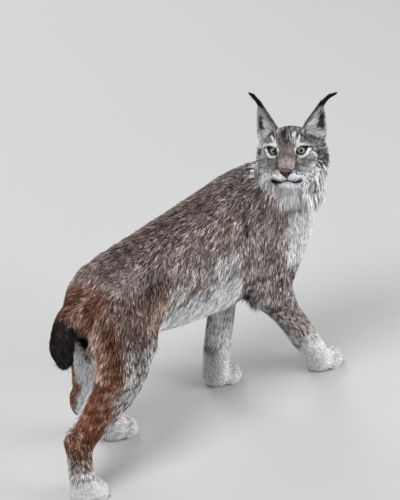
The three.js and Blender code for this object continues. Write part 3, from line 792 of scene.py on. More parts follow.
def spots(a, b, cell, size, seed):
    """Dots on a map, one to a cell with a place of its own: how dark each point is, and its number."""
    cell, size = np.asarray(cell, float), np.asarray(size, float)
    q = np.stack([a, b, np.zeros(len(a))], axis=1)
    q[:, :2] /= cell
    base = np.floor(q)
    best, own = np.full(len(a), 1e9), np.zeros(len(a))
    for i in (-1, 0, 1):
        for j in (-1, 0, 1):
            c = base + (i, j, 0)
            at = c[:, :2] + 0.2 + 0.6 * np.stack([scatter(c, seed), scatter(c, seed + 1)], axis=1)
            number = scatter(c, seed + 2)
            off = (q[:, :2] - at) * cell / (size * (0.75 + 0.5 * number)[:, None])
            far = np.linalg.norm(off, axis=1)
            own = np.where(far < best, number, own)
            best = np.minimum(best, far)
    return step(1.15, 0.7, best), own


# Strokes on the face, in order: a colour, points across and up from its middle, width and strength.
FACE_STROKES = [
    ("muzzle", [(25, 29), (37, 33), (54, 27)], 5.0, 0.85),
    ("muzzle", [(27, 36), (33, 49)], 2.4, 0.75),
    ("dark", [(33, 38), (45, 36)], 1.7, 0.7),
    ("dark", [(60, 38), (46, 47), (31, 57)], 2.3, 0.7),
    ("muzzle", [(50, 59), (68, 50), (88, 38)], 2.2, 0.5),
    ("dark", [(52, 50), (64, 44), (76, 36)], 4.0, 0.55),
    ("temple", [(34, -8), (46, -9), (60, -8)], 7.5, 0.8),
    ("dark", [(36, -3), (50, -4), (63, -6)], 2.0, 0.55),
    ("dark", [(27, -14), (36, -17), (46, -17)], 2.0, 0.6),
    ("black", [(57, 20), (66, 14), (74, 7), (78, -4)], 2.5, 0.85),
    ("muzzle", [(61, 13), (70, 4), (76, -9), (78, -24)], 2.6, 0.85),
]


def face_markings(q, p):
    """Colours of the head, from its own coordinates."""
    f, s, u = q.T
    # The markings are laid out square on to the face as seen from a little to its right.
    s = 0.987 * s - 0.158 * f + 10.5
    u = u - 0.0186 * f + 0.018 * s + 1.2
    a = np.abs(s)
    front = step(8, 30, f)
    wobble = (cloud(p, 9, 31) - 0.5) * 7
    fan = np.stack([s / (u + 95) * 150 / 2.7, (u + 0.3 * a) / 15, f / 40], axis=1)
    hairs = cloud(fan, 1.0, 37)
    wisps = cloud(np.stack([s / 4.5, u / 15, f / 30], axis=1), 1.0, 38)
    c = np.tile(COAT["face"], (len(q), 1))
    c = paint(c, "crown", step(30, 62, u + 0.25 * a))
    c = paint(c, "temple", step(60, 78, a + wobble * 0.6) * step(-50, -20, u) * (0.35 + 0.65 * (s > 0)))
    c = paint(c, "temple", step(20, -30, f) * step(-45, -10, u) * 0.8)
    c = paint(c, "ruff", step(36, 60, a) * step(2, -30, u + wobble)
              * np.maximum(step(84, 74, a + 0.5 * wobble), s < 0))
    c = paint(c, "muzzle", step(-26, -42, u + wobble) * step(78, 44, a))
    c = paint(c, "muzzle", step(-60, -80, u) * step(95, 70, a) * 0.8)
    c = paint(c, "dark", step(0.62, 0.9, wisps) * step(50, 66, a) * step(20, -20, u) * 0.55)
    c = paint(c, "muzzle", stroke(a, u, [(58, -12), (70, -20), (66, -34)], 8) * 0.7)
    c = paint(c, "bridge", step(25, 12, a + wobble * 0.6) * step(-34, -24, u) * step(58, 34, u) * front * 0.9)
    c = paint(c, "snout", step(22, 12, a + wobble * 0.4) * step(3, -14, u) * step(-30, -25, u) * front * 0.9)
    c = paint(c, "smudge", step(19, 8, a + wobble * 0.5) * step(16, 34, u) * step(78, 60, u) * front
              * (0.2 + 0.75 * step(0.40, 0.62, hairs)))
    c = paint(c, "tear", stroke(a, u, [(21, 5), (21.5, -8), (19, -22), (16, -28)], 2.9) * 0.9 * front)
    c = paint(c, "tear", stroke(a, u, [(23, -12), (26, -21), (24, -28)], 3.6) * 0.65 * front)
    high = step(26, 40, u) * step(98, 84, u) * step(54, 40, a)
    c = paint(c, "black", step(0.58, 0.74, hairs) * high * 0.75)
    c = paint(c, "muzzle", step(0.42, 0.26, hairs) * high * step(80, 56, u) * (0.35 + 0.35 * step(8, 16, a)))
    for name, path, wide, strength in FACE_STROKES:
        c = paint(c, name, stroke(a, u, path, wide) * strength)
    shadow = stroke(a, u, [(84, 12), (87, -10), (84, -34), (78, -52)], 5.5)
    c = paint(c, "dark", shadow * (0.15 + 0.5 * (s > 0)))
    c = paint(c, "muzzle", step(0.5, 0.7, wisps) * step(-60, -74, s) * step(26, 10, u) * 0.35)
    c = paint(c, "dark", stroke(a, u, [(50, -48), (60, -58)], 3.0) * 0.5)
    c = paint(c, "dark", stroke(a, u, [(36, -66), (42, -82)], 2.6) * 0.35)
    for end in EYES:
        x, y, z, _ = eye_view(p, end)
        near = (np.abs(x) < 34) & (np.abs(y) < 28) & (z > -6)
        gap = np.where(near, lid_gap(x, y), 99.0)
        below = step(4, -2, y - 0.12 * x)
        pale = step(1.2, 2.4, gap) * step(9.0 + 1.5 * (x < 0), 7.2, gap) * np.maximum(below, step(-9, -12, x))
        c = np.maximum(c, (pale * step(27, 20, x) * step(-21, -17, x))[:, None] * 0.97)
        c = paint(c, "dark", hill(gap, 10.8, 1.4) * below * step(-14, -6, x) * 0.65)
        c = paint(c, "rim", step(2.3, 1.3, gap) + step(3.6, 2.6, gap) * (y > 1))
        c = paint(c, "rim", stroke(x, y, [(7, 7.5), (14, 5.0), (20, 1.2), (27, -4.5)], 2.2) * near * 1.2)
        c = paint(c, "rim", stroke(x, y, [(-11, 1), (-14, -3), (-16, -8)], 2.3) * near * 1.2)
    for row, (row_u, first) in enumerate([(-28.5, 23), (-33.5, 21), (-38.0, 22)]):
        for n in range(4):
            at_a, at_u = first + n * 6.0 + (n * 7 + row * 3) % 4 * 0.5, row_u - (n * 5 + row) % 3 * 0.6
            spot = np.hypot((a - at_a) / 2.3, (u - at_u) / 1.7) < 1
            c = paint(c, "black", spot * (0.6 + 0.4 * (s > 0)) * (f > 40))
    above_lips = u - mouth_line(s)
    c = paint(c, "cheek", hill(above_lips, 5.0, 3.0) * step(38, 30, a) * step(6, 12, a) * (f > 30) * 0.55)
    lips = hill(above_lips, -0.6, 3.2 + 1.6 * step(12, 28, a)) * step(MOUTH_HALF + 5, MOUTH_HALF, a)
    c = paint(c, "rim", lips * (f > 30) * 1.5)
    return paint(c, "rim", hill(s, 0, 1.8) * step(-57, -54, u) * step(-42, -46, u) * (f > 40))


def face_edge(q):
    """1 inside the line where the pale ruff and beard meet the coat of the neck, 0 outside."""
    f, s, u = q.T
    noise = (cloud(q, 11, 47) - 0.5) * 22
    low = np.interp(s, [-110, -96, -67, -44, -17, 15, 60, 100], [0, -46, -79, -93, -104, -108, -102, -62])
    side = step(-100, -86, s + 0.4 * noise)
    return step(-9, 9, u - low + noise * 0.6) * side * step(-70, -50, f + 0.5 * noise)


LEG_RADIUS = 42


def leg_map(m, pair):
    """How far points are ahead of their leg's middle line, and how far round it from its front."""
    left = m[:, 1] > -15
    ahead, aside = np.zeros(len(m)), np.zeros(len(m))
    for end, here in (("left", left), ("right", ~left)):
        leg = LEGS[f"{pair}_{end}"]
        names = ("hock", "knee", "hip") if pair == "hind" else ("wrist", "elbow", "shoulder")
        line = np.array([leg["paw"], *[leg[name] for name in names]], float)
        z = m[here, 2]
        ahead[here] = m[here, 0] - np.interp(z, line[:, 2], line[:, 0])
        aside[here] = (m[here, 1] - np.interp(z, line[:, 2], line[:, 1])) * (1 if end == "left" else -1)
    return ahead, np.arctan2(aside, ahead) * LEG_RADIUS


def markings(p, n, part):
    """The coat's colours at points of the hide, with painted shade in the crease behind the shoulder and in
    the fold in front of the thigh. part holds smooth masks of the body's parts.
    """
    m = p - CAD_SHIFT
    x, y, z = m.T
    broad = (cloud(p, 34, 3) - 0.5) * 2
    fine = (cloud(p, 13, 5) - 0.5) * 2
    mottle = (cloud(p * (1, 1, 0.6), 9, 9) - 0.5) * 2
    outward = n[:, 1] * np.where(y > -15, 1, -1)
    trunk, neck, tail = part["trunk"], part["neck"], part["tail"] + part["tail_tip"]
    thigh, shank, foot = part["hind_thigh"], part["hind_shank"], part["hind_foot"]
    arm, forearm, paw = part["fore_arm"], part["fore_forearm"], part["paw"]

    c = np.tile(COAT["back"], (len(p), 1))
    c = paint(c, "spine", hill(y + 8 * step(480, 600, x), 0, 44) * step(0.35, 0.8, n[:, 2]) * 0.75)
    c = paint(c, "flank", step(540, 430, z + 14 * broad) * 0.8)
    c = paint(c, "shoulder", arm + neck)
    c = paint(c, "thigh", thigh)
    c = paint(c, "smudge", step(0.3, 0.9, mottle) * trunk * 0.35)

    side_line = np.interp(x, [100, 150, 210, 290, 350, 400], [402, 424, 418, 424, 440, 436])
    edge = side_line + 16 * broad + 22 * fine
    slanted = np.stack([(0.76 * x + 0.65 * z) / 34, (0.65 * x - 0.76 * z) / 8.5, y / 20], axis=1)
    streaks = cloud(slanted, 1.0, 51)
    edge = edge + (streaks - 0.5) * 160
    c = paint(c, "white", step(edge + 16, edge - 14, z) * trunk * 0.95)
    c = paint(c, "smudge", step(0.58, 0.78, streaks) * hill(z, side_line - 10, 46) * trunk * 0.75)
    c = paint(c, "cream", hill(z, side_line + 6, 26) * hill(x, 120, 60) * (trunk + thigh) * 0.55)
    # Darker fur in the fold in front of the thigh, and painted shade of that fold.
    c = paint(c, "dark", hill(x, 122 + 0.35 * (z - 480), 40) * hill(z, 488, 42) * step(0.2, 0.6, outward)
              * (0.55 + 0.45 * fine) * (trunk + thigh))
    bib = x + 9 * fine + 8 * broad - np.interp(z, [385, 439, 481, 526, 560], [525, 526, 537, 546, 550])
    bib = bib + 50 * (cloud(np.stack([(x - 0.4 * z) / 7, y / 7, z / 30], axis=1), 1.0, 53) - 0.5)
    front = step(-16, 12, bib) * step(350, 385, z) * step(655, 600, z)
    c = paint(c, "white", front * (trunk + neck + arm) * 0.95)
    c = paint(c, "white", step(0.3, -0.3, outward) * step(420, 380, z) * (trunk + arm)
              * step(120, 250, x) * 0.9)
    # Painted shade: a dark band down the crease behind the shoulder.
    fold_shade = hill(x, np.interp(z, [350, 415, 470, 520, 550], [434, 420, 412, 417, 428]), 10)
    c = paint(c, "dark", fold_shade * step(385, 420, z) * step(0.2, 0.6, outward) * step(585, 540, z) * 0.8)

    ahead, girth = leg_map(m, "hind")
    hind = thigh + shank + foot
    reach = np.interp(z, [120, 146, 187, 210, 243, 278, 305, 338, 382, 434, 471, 504],
                      [40, 46, 14, 9, -30, -64, -71, -60, -49, -47, -55, -37])
    rust = step(reach + 12, reach - 10, ahead + 9 * fine + 8 * broad)
    c = paint(c, "leg", (shank + thigh * step(385, 310, z + 10 * fine)) * (1 - rust) * 0.95)
    c = paint(c, "rust", rust * hind * step(530, 490, z) * 0.97)
    bars = step(-0.1, 0.75, np.cos(z * 0.24 + 3.0 * broad + 1.2 * fine)) * step(400, 340, z)
    band = hill(ahead - reach, -16, 20) * step(300, 330, z) * step(500, 470, z)
    band = np.maximum(band, step(200, 180, z) * step(118, 140, z) * 0.75)
    c = paint(c, "cream", step(0.0, 0.7, mottle) * rust * hind * (1 - band) * 0.5)
    c = paint(c, "rust_dark", np.maximum(np.maximum(bars * 0.7, step(0.1, 0.8, fine) * 0.6), band * 0.85)
              * rust * hind * step(-6, 8, ahead - reach + 60))
    ridge = y - np.interp(z, [300, 322, 373, 423, 463, 484], [-84, -81, -69, -55, -39, -32])
    seam = hill(ridge + 5 * fine, 0, 17) * step(-28, -44, x - np.interp(z, [423, 463, 484], [0, 9, 30]))
    c = paint(c, "cream", seam * step(270, 310, z) * step(500, 475, z) * (0.95 - 0.4 * bars) * (hind + trunk))
    inner = step(0.1, -0.45, outward + 0.15 * fine)
    c = paint(c, "white", inner * hind * step(-0.9, -0.6, n[:, 0]) * 0.8)
    c = paint(c, "foot", foot * (1 - inner) * step(150, 120, z) * 0.85)
    c = paint(c, "leg", foot * (1 - inner) * step(0.1, 0.6, mottle) * step(150, 120, z) * 0.4)
    fringe = step(0.70, 0.92, -0.72 * n[:, 0] - 0.70 * outward)
    fringe = fringe * (step(152, 126, z) + step(190, 215, z) * step(300, 270, z))
    c = paint(c, "white", (foot + shank) * fringe)
    c = paint(c, "white", foot * step(0.55, 0.85, n[:, 0]) * step(60, 80, z) * step(150, 125, z) * 0.7)
    c = paint(c, "paw", (foot + paw) * step(112, 52, z + 16 * fine) * 0.95)

    c = paint(c, "flank", arm * step(480, 400, z) * (0.45 + 0.4 * broad) * (1 - front))
    c = paint(c, "leg", (arm * step(380, 300, z) * (1 - front) + forearm) * 0.9)
    inner = step(0.2, -0.35, outward + 0.15 * fine)
    c = paint(c, "flank", (arm + forearm) * step(110, 190, z) * (1 - inner) * (1 - front) * (y < -15) * 0.75)
    c = paint(c, "white", inner * (arm * step(400, 360, z) + forearm) * 0.85)

    along = (m - (-95.0, -4.0, 434.0)) @ unit(np.array([-0.62, -0.05, -0.78]))
    root = tail + trunk * step(4, -30, x + 12 * fine)
    c = paint(c, "rust", root)
    c = paint(c, "rust_dark", root * (0.45 + 0.5 * step(-0.3, 0.6, fine)))
    c = paint(c, "cream", root * hill(y, -22, 7) * step(-10, -40, x) * 0.5)
    c = paint(c, "black", tail * step(-7, 5, along + 5 * fine) * 0.98)

    hind_dots, own = spots(girth, z, (13, 20), (4.0, 7.0), 11)
    strong = shank * (1 - rust) + thigh * step(400, 340, z) * (1 - rust) + foot * 0.5
    c = paint(c, "black", hind_dots * strong * (own > 0.12) * 0.95)
    _, girth = leg_map(m, "fore")
    fore_dots, own = spots(girth, z, (14, 18), (4.0, 6.4), 17)
    strong = forearm * (0.95 - 0.35 * inner) + paw * 0.15
    c = paint(c, "dark", fore_dots * strong * (own > 0.2) * 0.95)
    blots, own = spots(girth + 4 * broad, z, (24, 18), (10.5, 6.0), 23)
    strong = arm * (0.25 + 0.75 * step(440, 380, z)) * (1 - front) + forearm * step(230, 262, z)
    c = paint(c, "dark", blots * strong * (own > 0.15) * (1 - inner) * 0.9)
    wrist = hill(z, 108, 15) * step(-0.35, -0.75, n[:, 0]) * step(0.8, 0.3, np.abs(n[:, 1]))
    c = paint(c, "paw", (forearm + paw) * step(165, 80, z + 16 * fine) * 0.92)
    c = paint(c, "smudge", wrist * (forearm + paw) * 0.75)
    flank_dots, own = spots(x + 0.5 * z, z, (30, 24), (4.5, 7.0), 29)
    low = step(side_line - 2, side_line - 25, z) * step(280, 200, x)
    c = paint(c, "dark", flank_dots * trunk * low * (own > 0.45) * 0.8)

    on_head = np.clip(part["head"] + part["ruff"], 0, 1)
    some = on_head > 0.01
    if some.any():
        face = c.copy()
        face[some] = face_markings(to_head(p[some]), p[some])
        blend_in = (step(0.2, 0.7, on_head) * face_edge(to_head(p)))[:, None]
        c = c * (1 - blend_in) + face * blend_in
    return c


MASKS = {
    "trunk": ("rump", "loin", "chest"), "neck": ("neck",), "tail": ("tail",), "tail_tip": ("tail_tip",),
    "hind_thigh": ("hind_thigh",), "hind_shank": ("hind_shank",), "hind_foot": ("hind_foot",),
    "fore_arm": ("fore_arm",), "fore_forearm": ("fore_forearm",), "paw": ("hind_paw", "fore_paw"),
    "head": ("head",), "ruff": ("ruff",),
}


def masks_of(comb_map):
    families = np.array([family(node) for node in FLESH])[comb_map["part"]]
    return {name: smoothed(np.isin(families, members).astype(float), comb_map["ring"], 8)
            for name, members in MASKS.items()}


# Fur


def sow(mesh, comb_map, masks, chosen, count, seed):
    """Roots spread evenly over the chosen parts of the hide, each with what grows there."""
    mesh.calc_loop_triangles()
    tri = np.empty(len(mesh.loop_triangles) * 3, np.int32)
    mesh.loop_triangles.foreach_get("vertices", tri)
    tri = tri.reshape(-1, 3)
    p = comb_map["p"]
    area = np.linalg.norm(np.cross(p[tri[:, 1]] - p[tri[:, 0]], p[tri[:, 2]] - p[tri[:, 0]]), axis=1) / 2
    area = area * chosen[tri].mean(axis=1)
    total = np.cumsum(area)
    rng = np.random.default_rng(seed)
    picks = (np.arange(count) + rng.random(count)) / count * total[-1]
    index = np.minimum(np.searchsorted(total, picks), len(tri) - 1)
    r = rng.random((count, 2))
    r = np.where(r.sum(axis=1, keepdims=True) > 1, 1 - r, r)
    share = np.stack([1 - r.sum(axis=1), r[:, 0], r[:, 1]], axis=1)
    corner = tri[index]

    def at(values):
        return np.einsum("nc,nc...->n...", share, values[corner])

    roots = {key: at(comb_map[key]) for key in ("p", "n", "along", "length", "wide", "lift", "bend")}
    roots["n"] = unit(roots["n"])
    roots["along"] = unit(roots["along"] - roots["n"] * dot(roots["along"], roots["n"])[:, None])
    roots["masks"] = {key: at(value) for key, value in masks.items()}
    roots["random"] = rng.random((count, 8))
    return roots


PATCH = 0.0015  # half the size of a lock's place on the unwrap


def lock_mesh(name, line, half, flat, normal, shades, uv):
    """Closed locks from their middle lines: a root point, rings of three and a tip.

    line is (locks, rings + 2, 3) in millimetres, half is (locks, rings), and shades match line.
    """
    count, points, _ = line.shape
    rings = points - 2
    tangent = unit(line[:, -1] - line[:, 0])
    side = unit(np.cross(normal, tangent))
    up = np.cross(tangent, side)
    size = 3 * rings + 2
    verts = np.empty((count, size, 3))
    tint = np.ones((count, size, 4))
    leaning = np.empty((count, size, 3))
    verts[:, 0], verts[:, -1] = line[:, 0], line[:, -1]
    tint[:, 0, :3], tint[:, -1, :3] = shades[:, 0], shades[:, -1]
    leaning[:, 0] = leaning[:, -1] = unit(normal * 0.8 + up * 0.2)
    patch = np.zeros((size, 2))
    patch[0], patch[-1] = (-1, 0), (1, 0)
    for ring in range(rings):
        centre, wide = line[:, ring + 1], half[:, ring:ring + 1]
        for k, (across, over) in enumerate(((1, -0.3), (-1, -0.3), (0, 0.7))):
            v = 1 + ring * 3 + k
            verts[:, v] = centre + side * wide * across + up * wide * over * flat
            tint[:, v, :3] = shades[:, ring + 1]
            leaning[:, v] = unit(normal * 0.7 + up * 0.3 + side * across * 0.38)
            patch[v] = (2 * (ring + 1) / (rings + 1) - 1, across)
    faces = [[0, i, j] for i, j in ((1, 2), (2, 3), (3, 1))]
    for ring in range(rings - 1):
        b = 1 + ring * 3
        for i, j in ((0, 1), (1, 2), (2, 0)):
            faces += [[b + j, b + i, b + 3 + i], [b + j, b + 3 + i, b + 3 + j]]
    b = 1 + (rings - 1) * 3
    faces += [[size - 1, b + j, b + i] for i, j in ((0, 1), (1, 2), (2, 0))]
    faces = (np.array(faces)[None] + (np.arange(count) * size)[:, None, None]).reshape(-1, 3)
    verts[..., 2] = np.maximum(verts[..., 2], FLOOR_GAP / MM)

    mesh = bpy.data.meshes.new(name)
    mesh.vertices.add(count * size)
    mesh.vertices.foreach_set("co", (verts * MM).astype(np.float32).ravel())
    mesh.loops.add(len(faces) * 3)
    mesh.loops.foreach_set("vertex_index", faces.astype(np.int32).ravel())
    mesh.polygons.add(len(faces))
    mesh.polygons.foreach_set("loop_start", np.arange(len(faces), dtype=np.int32) * 3)
    mesh.polygons.foreach_set("use_smooth", np.ones(len(faces), bool))
    mesh.update(calc_edges=True)
    layer = mesh.attributes.new("Coat", "FLOAT_COLOR", "POINT")
    layer.data.foreach_set("color", np.clip(tint, 0, 1).astype(np.float32).ravel())
    bake = mesh.uv_layers.new(name="OFBake")
    places = (uv[:, None, :] + patch[None] * PATCH).reshape(-1, 2)
    bake.data.foreach_set("uv", places[faces.ravel()].astype(np.float32).ravel())
    mesh.normals_split_custom_set_from_vertices(leaning.reshape(-1, 3).astype(np.float32))
    return add_object(name, mesh)


def run_of(roots, length, way, pull, lift, t, rise):
    """Where locks are at a share t of their length: along the hide, bent with it, and risen."""
    run = length * t
    drop = np.clip(roots["bend"] * run * run / 2, -0.35 * run, 0.6 * run)
    return (roots["p"] + way * (run * 0.96)[:, None] + roots["n"] * (lift * rise - drop)[:, None]
            + pull * t ** 1.4)


def grow(name, roots, uv, colour_of, clump=8.0, gather=0.4, contrast=1.6, rings=1, wild=0.06):
    """Locks over the hide. colour_of gives the coat's colours at points along the locks."""
    p, n = roots["p"], roots["n"]
    rnd = roots["random"]
    stray = rnd[:, 6] < wild
    length = roots["length"] * (0.74 + 0.46 * rnd[:, 0]) * np.where(stray, 1.25, 1.0)
    wide = roots["wide"] * (0.72 + 0.56 * rnd[:, 1]) * np.where(stray, 0.6, 1.0)
    lift = roots["lift"] * (0.74 + 0.30 * rnd[:, 2]) * np.where(stray, 1.12, 1.0)
    lift = np.minimum(lift, length * 0.8)
    side = np.cross(n, roots["along"])
    way = unit(roots["along"] + side * ((rnd[:, 3] - 0.5) * 0.36)[:, None])
    _, place, own = nearest_dot(p, clump, 41)
    pull = (place - p) - n * dot(place - p, n)[:, None]
    pull = pull - way * dot(pull, way)[:, None]
    reach = np.minimum(np.linalg.norm(pull, axis=1), length * 0.4)
    pull = unit(pull) * (reach * gather)[:, None]
    shares = (0.42, 1.0) if rings == 1 else (0.3, 0.66, 1.0)
    rises = (0.60, 0.98) if rings == 1 else (0.50, 0.82, 0.98)
    sizes = (1.0,) if rings == 1 else (1.0, 0.72)
    line = [p - n * 0.8] + [run_of(roots, length, way, pull, lift, t, rise) for t, rise in zip(shares, rises)]
    half = np.stack([wide / 2 * k for k in sizes], axis=1)
    astray = np.minimum(length, 3.5 + length * step(20, 27, length))[:, None]
    about = p + way * (length[:, None] * 0.25 + astray * 0.6 * rnd[:, 5:6])
    about = about + side * (rnd[:, 3:4] - 0.5) * 0.5 * astray
    masks = roots["masks"]
    colour = colour_of(about, n, masks)

    kind = np.where(rnd[:, 4] < 0.34, math.log(0.36), np.where(rnd[:, 4] > 0.68, math.log(1.8), 0.0))
    limbs = masks.get("paw", 0) + 0.6 * (masks.get("hind_shank", 0) + masks.get("fore_forearm", 0))
    contrast = contrast * (1 - 0.55 * np.sqrt(colour.mean(axis=1))) * (1 - 0.7 * limbs)
    tone = np.exp(contrast * (kind + (own - 0.5) * 1.1 + (rnd[:, 7] - 0.5) * 0.3))
    body = colour * tone[:, None]
    bleach = 0.5 * step(1.1, 2.2, tone)[:, None]
    body = body * (1 - bleach) + body.mean(axis=1, keepdims=True) * (1.03, 1.0, 0.95) * bleach
    tip = body * np.exp(contrast * (rnd[:, 7] - 0.45) * 0.5)[:, None]
    steps_up = (0.92,) if rings == 1 else (0.7, 1.0)
    levels = [body * (0.75 - 0.5 * contrast)[:, None], *(body * k for k in steps_up), tip]
    return lock_mesh(name, np.stack(line, axis=1), half, 0.8, n, np.stack(levels, axis=1), uv)


def wrap(p, axis_from, axis_to, across=(0.0, 1.0, 0.0)):
    """An unwrap round a part's own axis: the turn round it and the way along it, from 0 to 1."""
    a, b = np.asarray(axis_from, float), np.asarray(axis_to, float)
    along = unit(b - a)
    first = unit(np.asarray(across, float) - along * np.dot(across, along))
    second = np.cross(along, first)
    off = p - a
    turn = np.arctan2(off @ second, off @ first) / (2 * math.pi) + 0.5
    run = off @ along
    run = (run - run.min()) / max(run.max() - run.min(), 1e-6)
    return np.stack([0.01 + 0.98 * turn, 0.01 + 0.98 * run], axis=1)


# Each piece of fur: the parts it grows on, how many locks, and the axis of its unwrap.
FUR = {
    "fur_rump": (("rump",), 15000, ((-60, 0, 430), (160, 0, 430))),
    "fur_loin": (("loin",), 19000, ((100, 0, 430), (320, 0, 430))),
    "fur_chest": (("chest",), 21000, ((280, 0, 430), (580, 0, 430))),
    "fur_neck": (("neck",), 14500, ((540, -20, 480), (600, -50, 640))),
    "fur_thigh_right": (("hind_thigh_right",), 11500, ((14, -60, 438), (10, -90, 250))),
    "fur_thigh_left": (("hind_thigh_left",), 10500, ((36, 48, 420), (60, 70, 250))),
    "fur_arm_right": (("fore_arm_right",), 10500, ((540, -72, 480), (520, -90, 260))),
    "fur_arm_left": (("fore_arm_left",), 9500, ((540, 62, 480), (510, 66, 260))),
    "fur_hind_right": (("hind_shank_right", "hind_foot_right", "hind_paw_right"), 16000,
                       ((-60, -95, 300), (-132, -110, 0))),
    "fur_hind_left": (("hind_shank_left", "hind_foot_left", "hind_paw_left"), 13500,
                      ((60, 60, 300), (80, 40, 0))),
    "fur_fore_right": (("fore_forearm_right", "fore_paw_right"), 14500, ((510, -90, 300), (680, -84, 0))),
    "fur_fore_left": (("fore_forearm_left", "fore_paw_left"), 12500, ((502, 66, 300), (460, 40, 0))),
    "fur_tail": (("tail", "tail_tip"), 7500, ((-90, 0, 450), (-116, -10, 330))),
}


# Slot names for the fur on the tail and legs, by the second word of a piece's name.
SLOTS = {"tail": "coat_rust", "thigh": "coat_leg", "arm": "coat_leg", "hind": "coat_leg", "fore": "coat_leg"}


def grow_fur(hide, comb_map, masks, name):
    nodes, count, (axis_from, axis_to) = FUR[name]
    members = [FLESH.index(node) for node in nodes]
    chosen = np.isin(comb_map["part"], members).astype(float)
    roots = sow(hide.data, comb_map, masks, chosen, count, sum(map(ord, name)))
    return grow(name, roots, wrap(roots["p"] - CAD_SHIFT, axis_from, axis_to), markings)


# Materials


def add_node(tree, kind, place=(0, 0), links=(), **settings):
    """Adds a node with its settings, and links (input, from node, output) into it."""
    node = tree.nodes.new(kind)
    node.location = place
    for key, value in settings.items():
        if key in node.inputs:
            node.inputs[key].default_value = value
        else:
            setattr(node, key, value)
    for socket, source, output in links:
        tree.links.new(source.outputs[output], node.inputs[socket])
    return node


def new_material(name):
    material = bpy.data.materials.new(name)
    material.use_nodes = True
    material.node_tree.nodes.clear()
    return material, material.node_tree


def finish_material(tree, shader):
    add_node(tree, "ShaderNodeOutputMaterial", (600, 0), [("Surface", shader, "BSDF")])


SPECULAR = "Specular IOR Level"


def fur_material():
    """Winter fur: keratin hairs, matte in the mass, with a faint soft shine."""
    material, tree = new_material("winter_fur")
    colour = add_node(tree, "ShaderNodeAttribute", (-400, 0), attribute_name="Coat")
    shader = add_node(tree, "ShaderNodeBsdfPrincipled", (200, 0), [("Base Color", colour, "Color")],
                      Roughness=0.72, IOR=1.45, **{SPECULAR: 0.25})
    finish_material(tree, shader)
    return material


def hide_material():
    """Hide under short hair: the coat's colours, halved away from the face as painted shade between the
    locks, over fine leather-like bumps, with no shine.
    """
    material, tree = new_material("haired_hide")
    colour = add_node(tree, "ShaderNodeAttribute", (-400, 0), attribute_name="Coat")
    place = add_node(tree, "ShaderNodeTexCoord", (-800, -200))
    grain = add_node(tree, "ShaderNodeTexNoise", (-600, -200), [("Vector", place, "Object")],
                     Scale=700.0, Detail=2.0)
    bump = add_node(tree, "ShaderNodeBump", (-200, -200), [("Height", grain, "Fac")],
                    Strength=0.5, Distance=0.001)
    shader = add_node(tree, "ShaderNodeBsdfPrincipled", (200, 0),
                      [("Base Color", colour, "Color"), ("Normal", bump, "Normal")],
                      Roughness=0.8, **{SPECULAR: 0.2})
    finish_material(tree, shader)
    return material


MATERIALS = {}


def material_of(kind):
    """One shared material of each kind."""
    if kind not in MATERIALS:
        MATERIALS[kind] = {"fur": fur_material, "hide": hide_material, "eye": eye_material,
                           "nose": nose_material}[kind]()
    return MATERIALS[kind]


IRIS_RADIUS, PUPIL_RADIUS = 10.2, 3.5


def eye_material():
    """Wet cornea over a yellow-olive iris: clear gloss over a dull disc with fine spokes."""
    material, tree = new_material("wet_eye")
    uv = add_node(tree, "ShaderNodeUVMap", (-1200, 0), uv_map="eye")
    parts = add_node(tree, "ShaderNodeSeparateXYZ", (-1000, 0), [("Vector", uv, "UV")])
    spokes_at = add_node(tree, "ShaderNodeVectorMath", (-800, -250), [("Vector", uv, "UV")],
                         operation="MULTIPLY")
    spokes_at.inputs[1].default_value = (46, 9, 1)
    spokes = add_node(tree, "ShaderNodeTexNoise", (-600, -250), [("Vector", spokes_at, "Vector")],
                      Scale=1.0, Detail=3.0)
    ramp = add_node(tree, "ShaderNodeValToRGB", (-600, 0), [("Fac", parts, "Y")])
    stops = ramp.color_ramp.elements
    latitude = [1 - math.degrees(math.asin(r / EYE_RADIUS)) / 180
                for r in (IRIS_RADIUS + 1.0, IRIS_RADIUS - 0.6, 6.0, PUPIL_RADIUS + 0.5, PUPIL_RADIUS)]
    tones = ["#0c0907", "#4c4836", "#938f70", "#7d795c", "#020202"]
    stops[0].position, stops[1].position = latitude[0], latitude[1]
    for n, tone in enumerate(tones):
        stop = stops[n] if n < 2 else stops.new(latitude[n])
        stop.color = (*linear(tone), 1)
    shade = add_node(tree, "ShaderNodeMapRange", (-400, -250), [("Value", spokes, "Fac")],
                     **{"To Min": 0.62, "To Max": 1.25})
    # A Mix node's colours are its inputs 6 and 7 and its output 2.
    mix = add_node(tree, "ShaderNodeMix", (-200, 0), [(6, ramp, "Color"), (7, shade, "Result")],
                   data_type="RGBA", blend_type="MULTIPLY")
    mix.inputs[0].default_value = 1.0
    shader = add_node(tree, "ShaderNodeBsdfPrincipled", (200, 0), [("Base Color", mix, 2)], Roughness=0.35,
                      **{SPECULAR: 0.05, "Coat Weight": 1.0, "Coat IOR": 1.26, "Coat Roughness": 0.02})
    finish_material(tree, shader)
    return material


def nose_material():
    """Bare nose leather: pebbled, faintly moist, pinkish brown with darker edges and painted shade in the
    nostrils.
    """
    material, tree = new_material("nose_leather")
    colour = add_node(tree, "ShaderNodeAttribute", (-400, 200), attribute_name="Coat")
    place = add_node(tree, "ShaderNodeTexCoord", (-800, -200))
    pebbles = add_node(tree, "ShaderNodeTexVoronoi", (-600, -200), [("Vector", place, "Object")],
                       Scale=1100.0)
    bump = add_node(tree, "ShaderNodeBump", (-200, -200), [("Height", pebbles, "Distance")],
                    Strength=0.5, Distance=0.0006)
    shader = add_node(tree, "ShaderNodeBsdfPrincipled", (200, 0),
                      [("Base Color", colour, "Color"), ("Normal", bump, "Normal")], Roughness=0.42)
    finish_material(tree, shader)
    return material


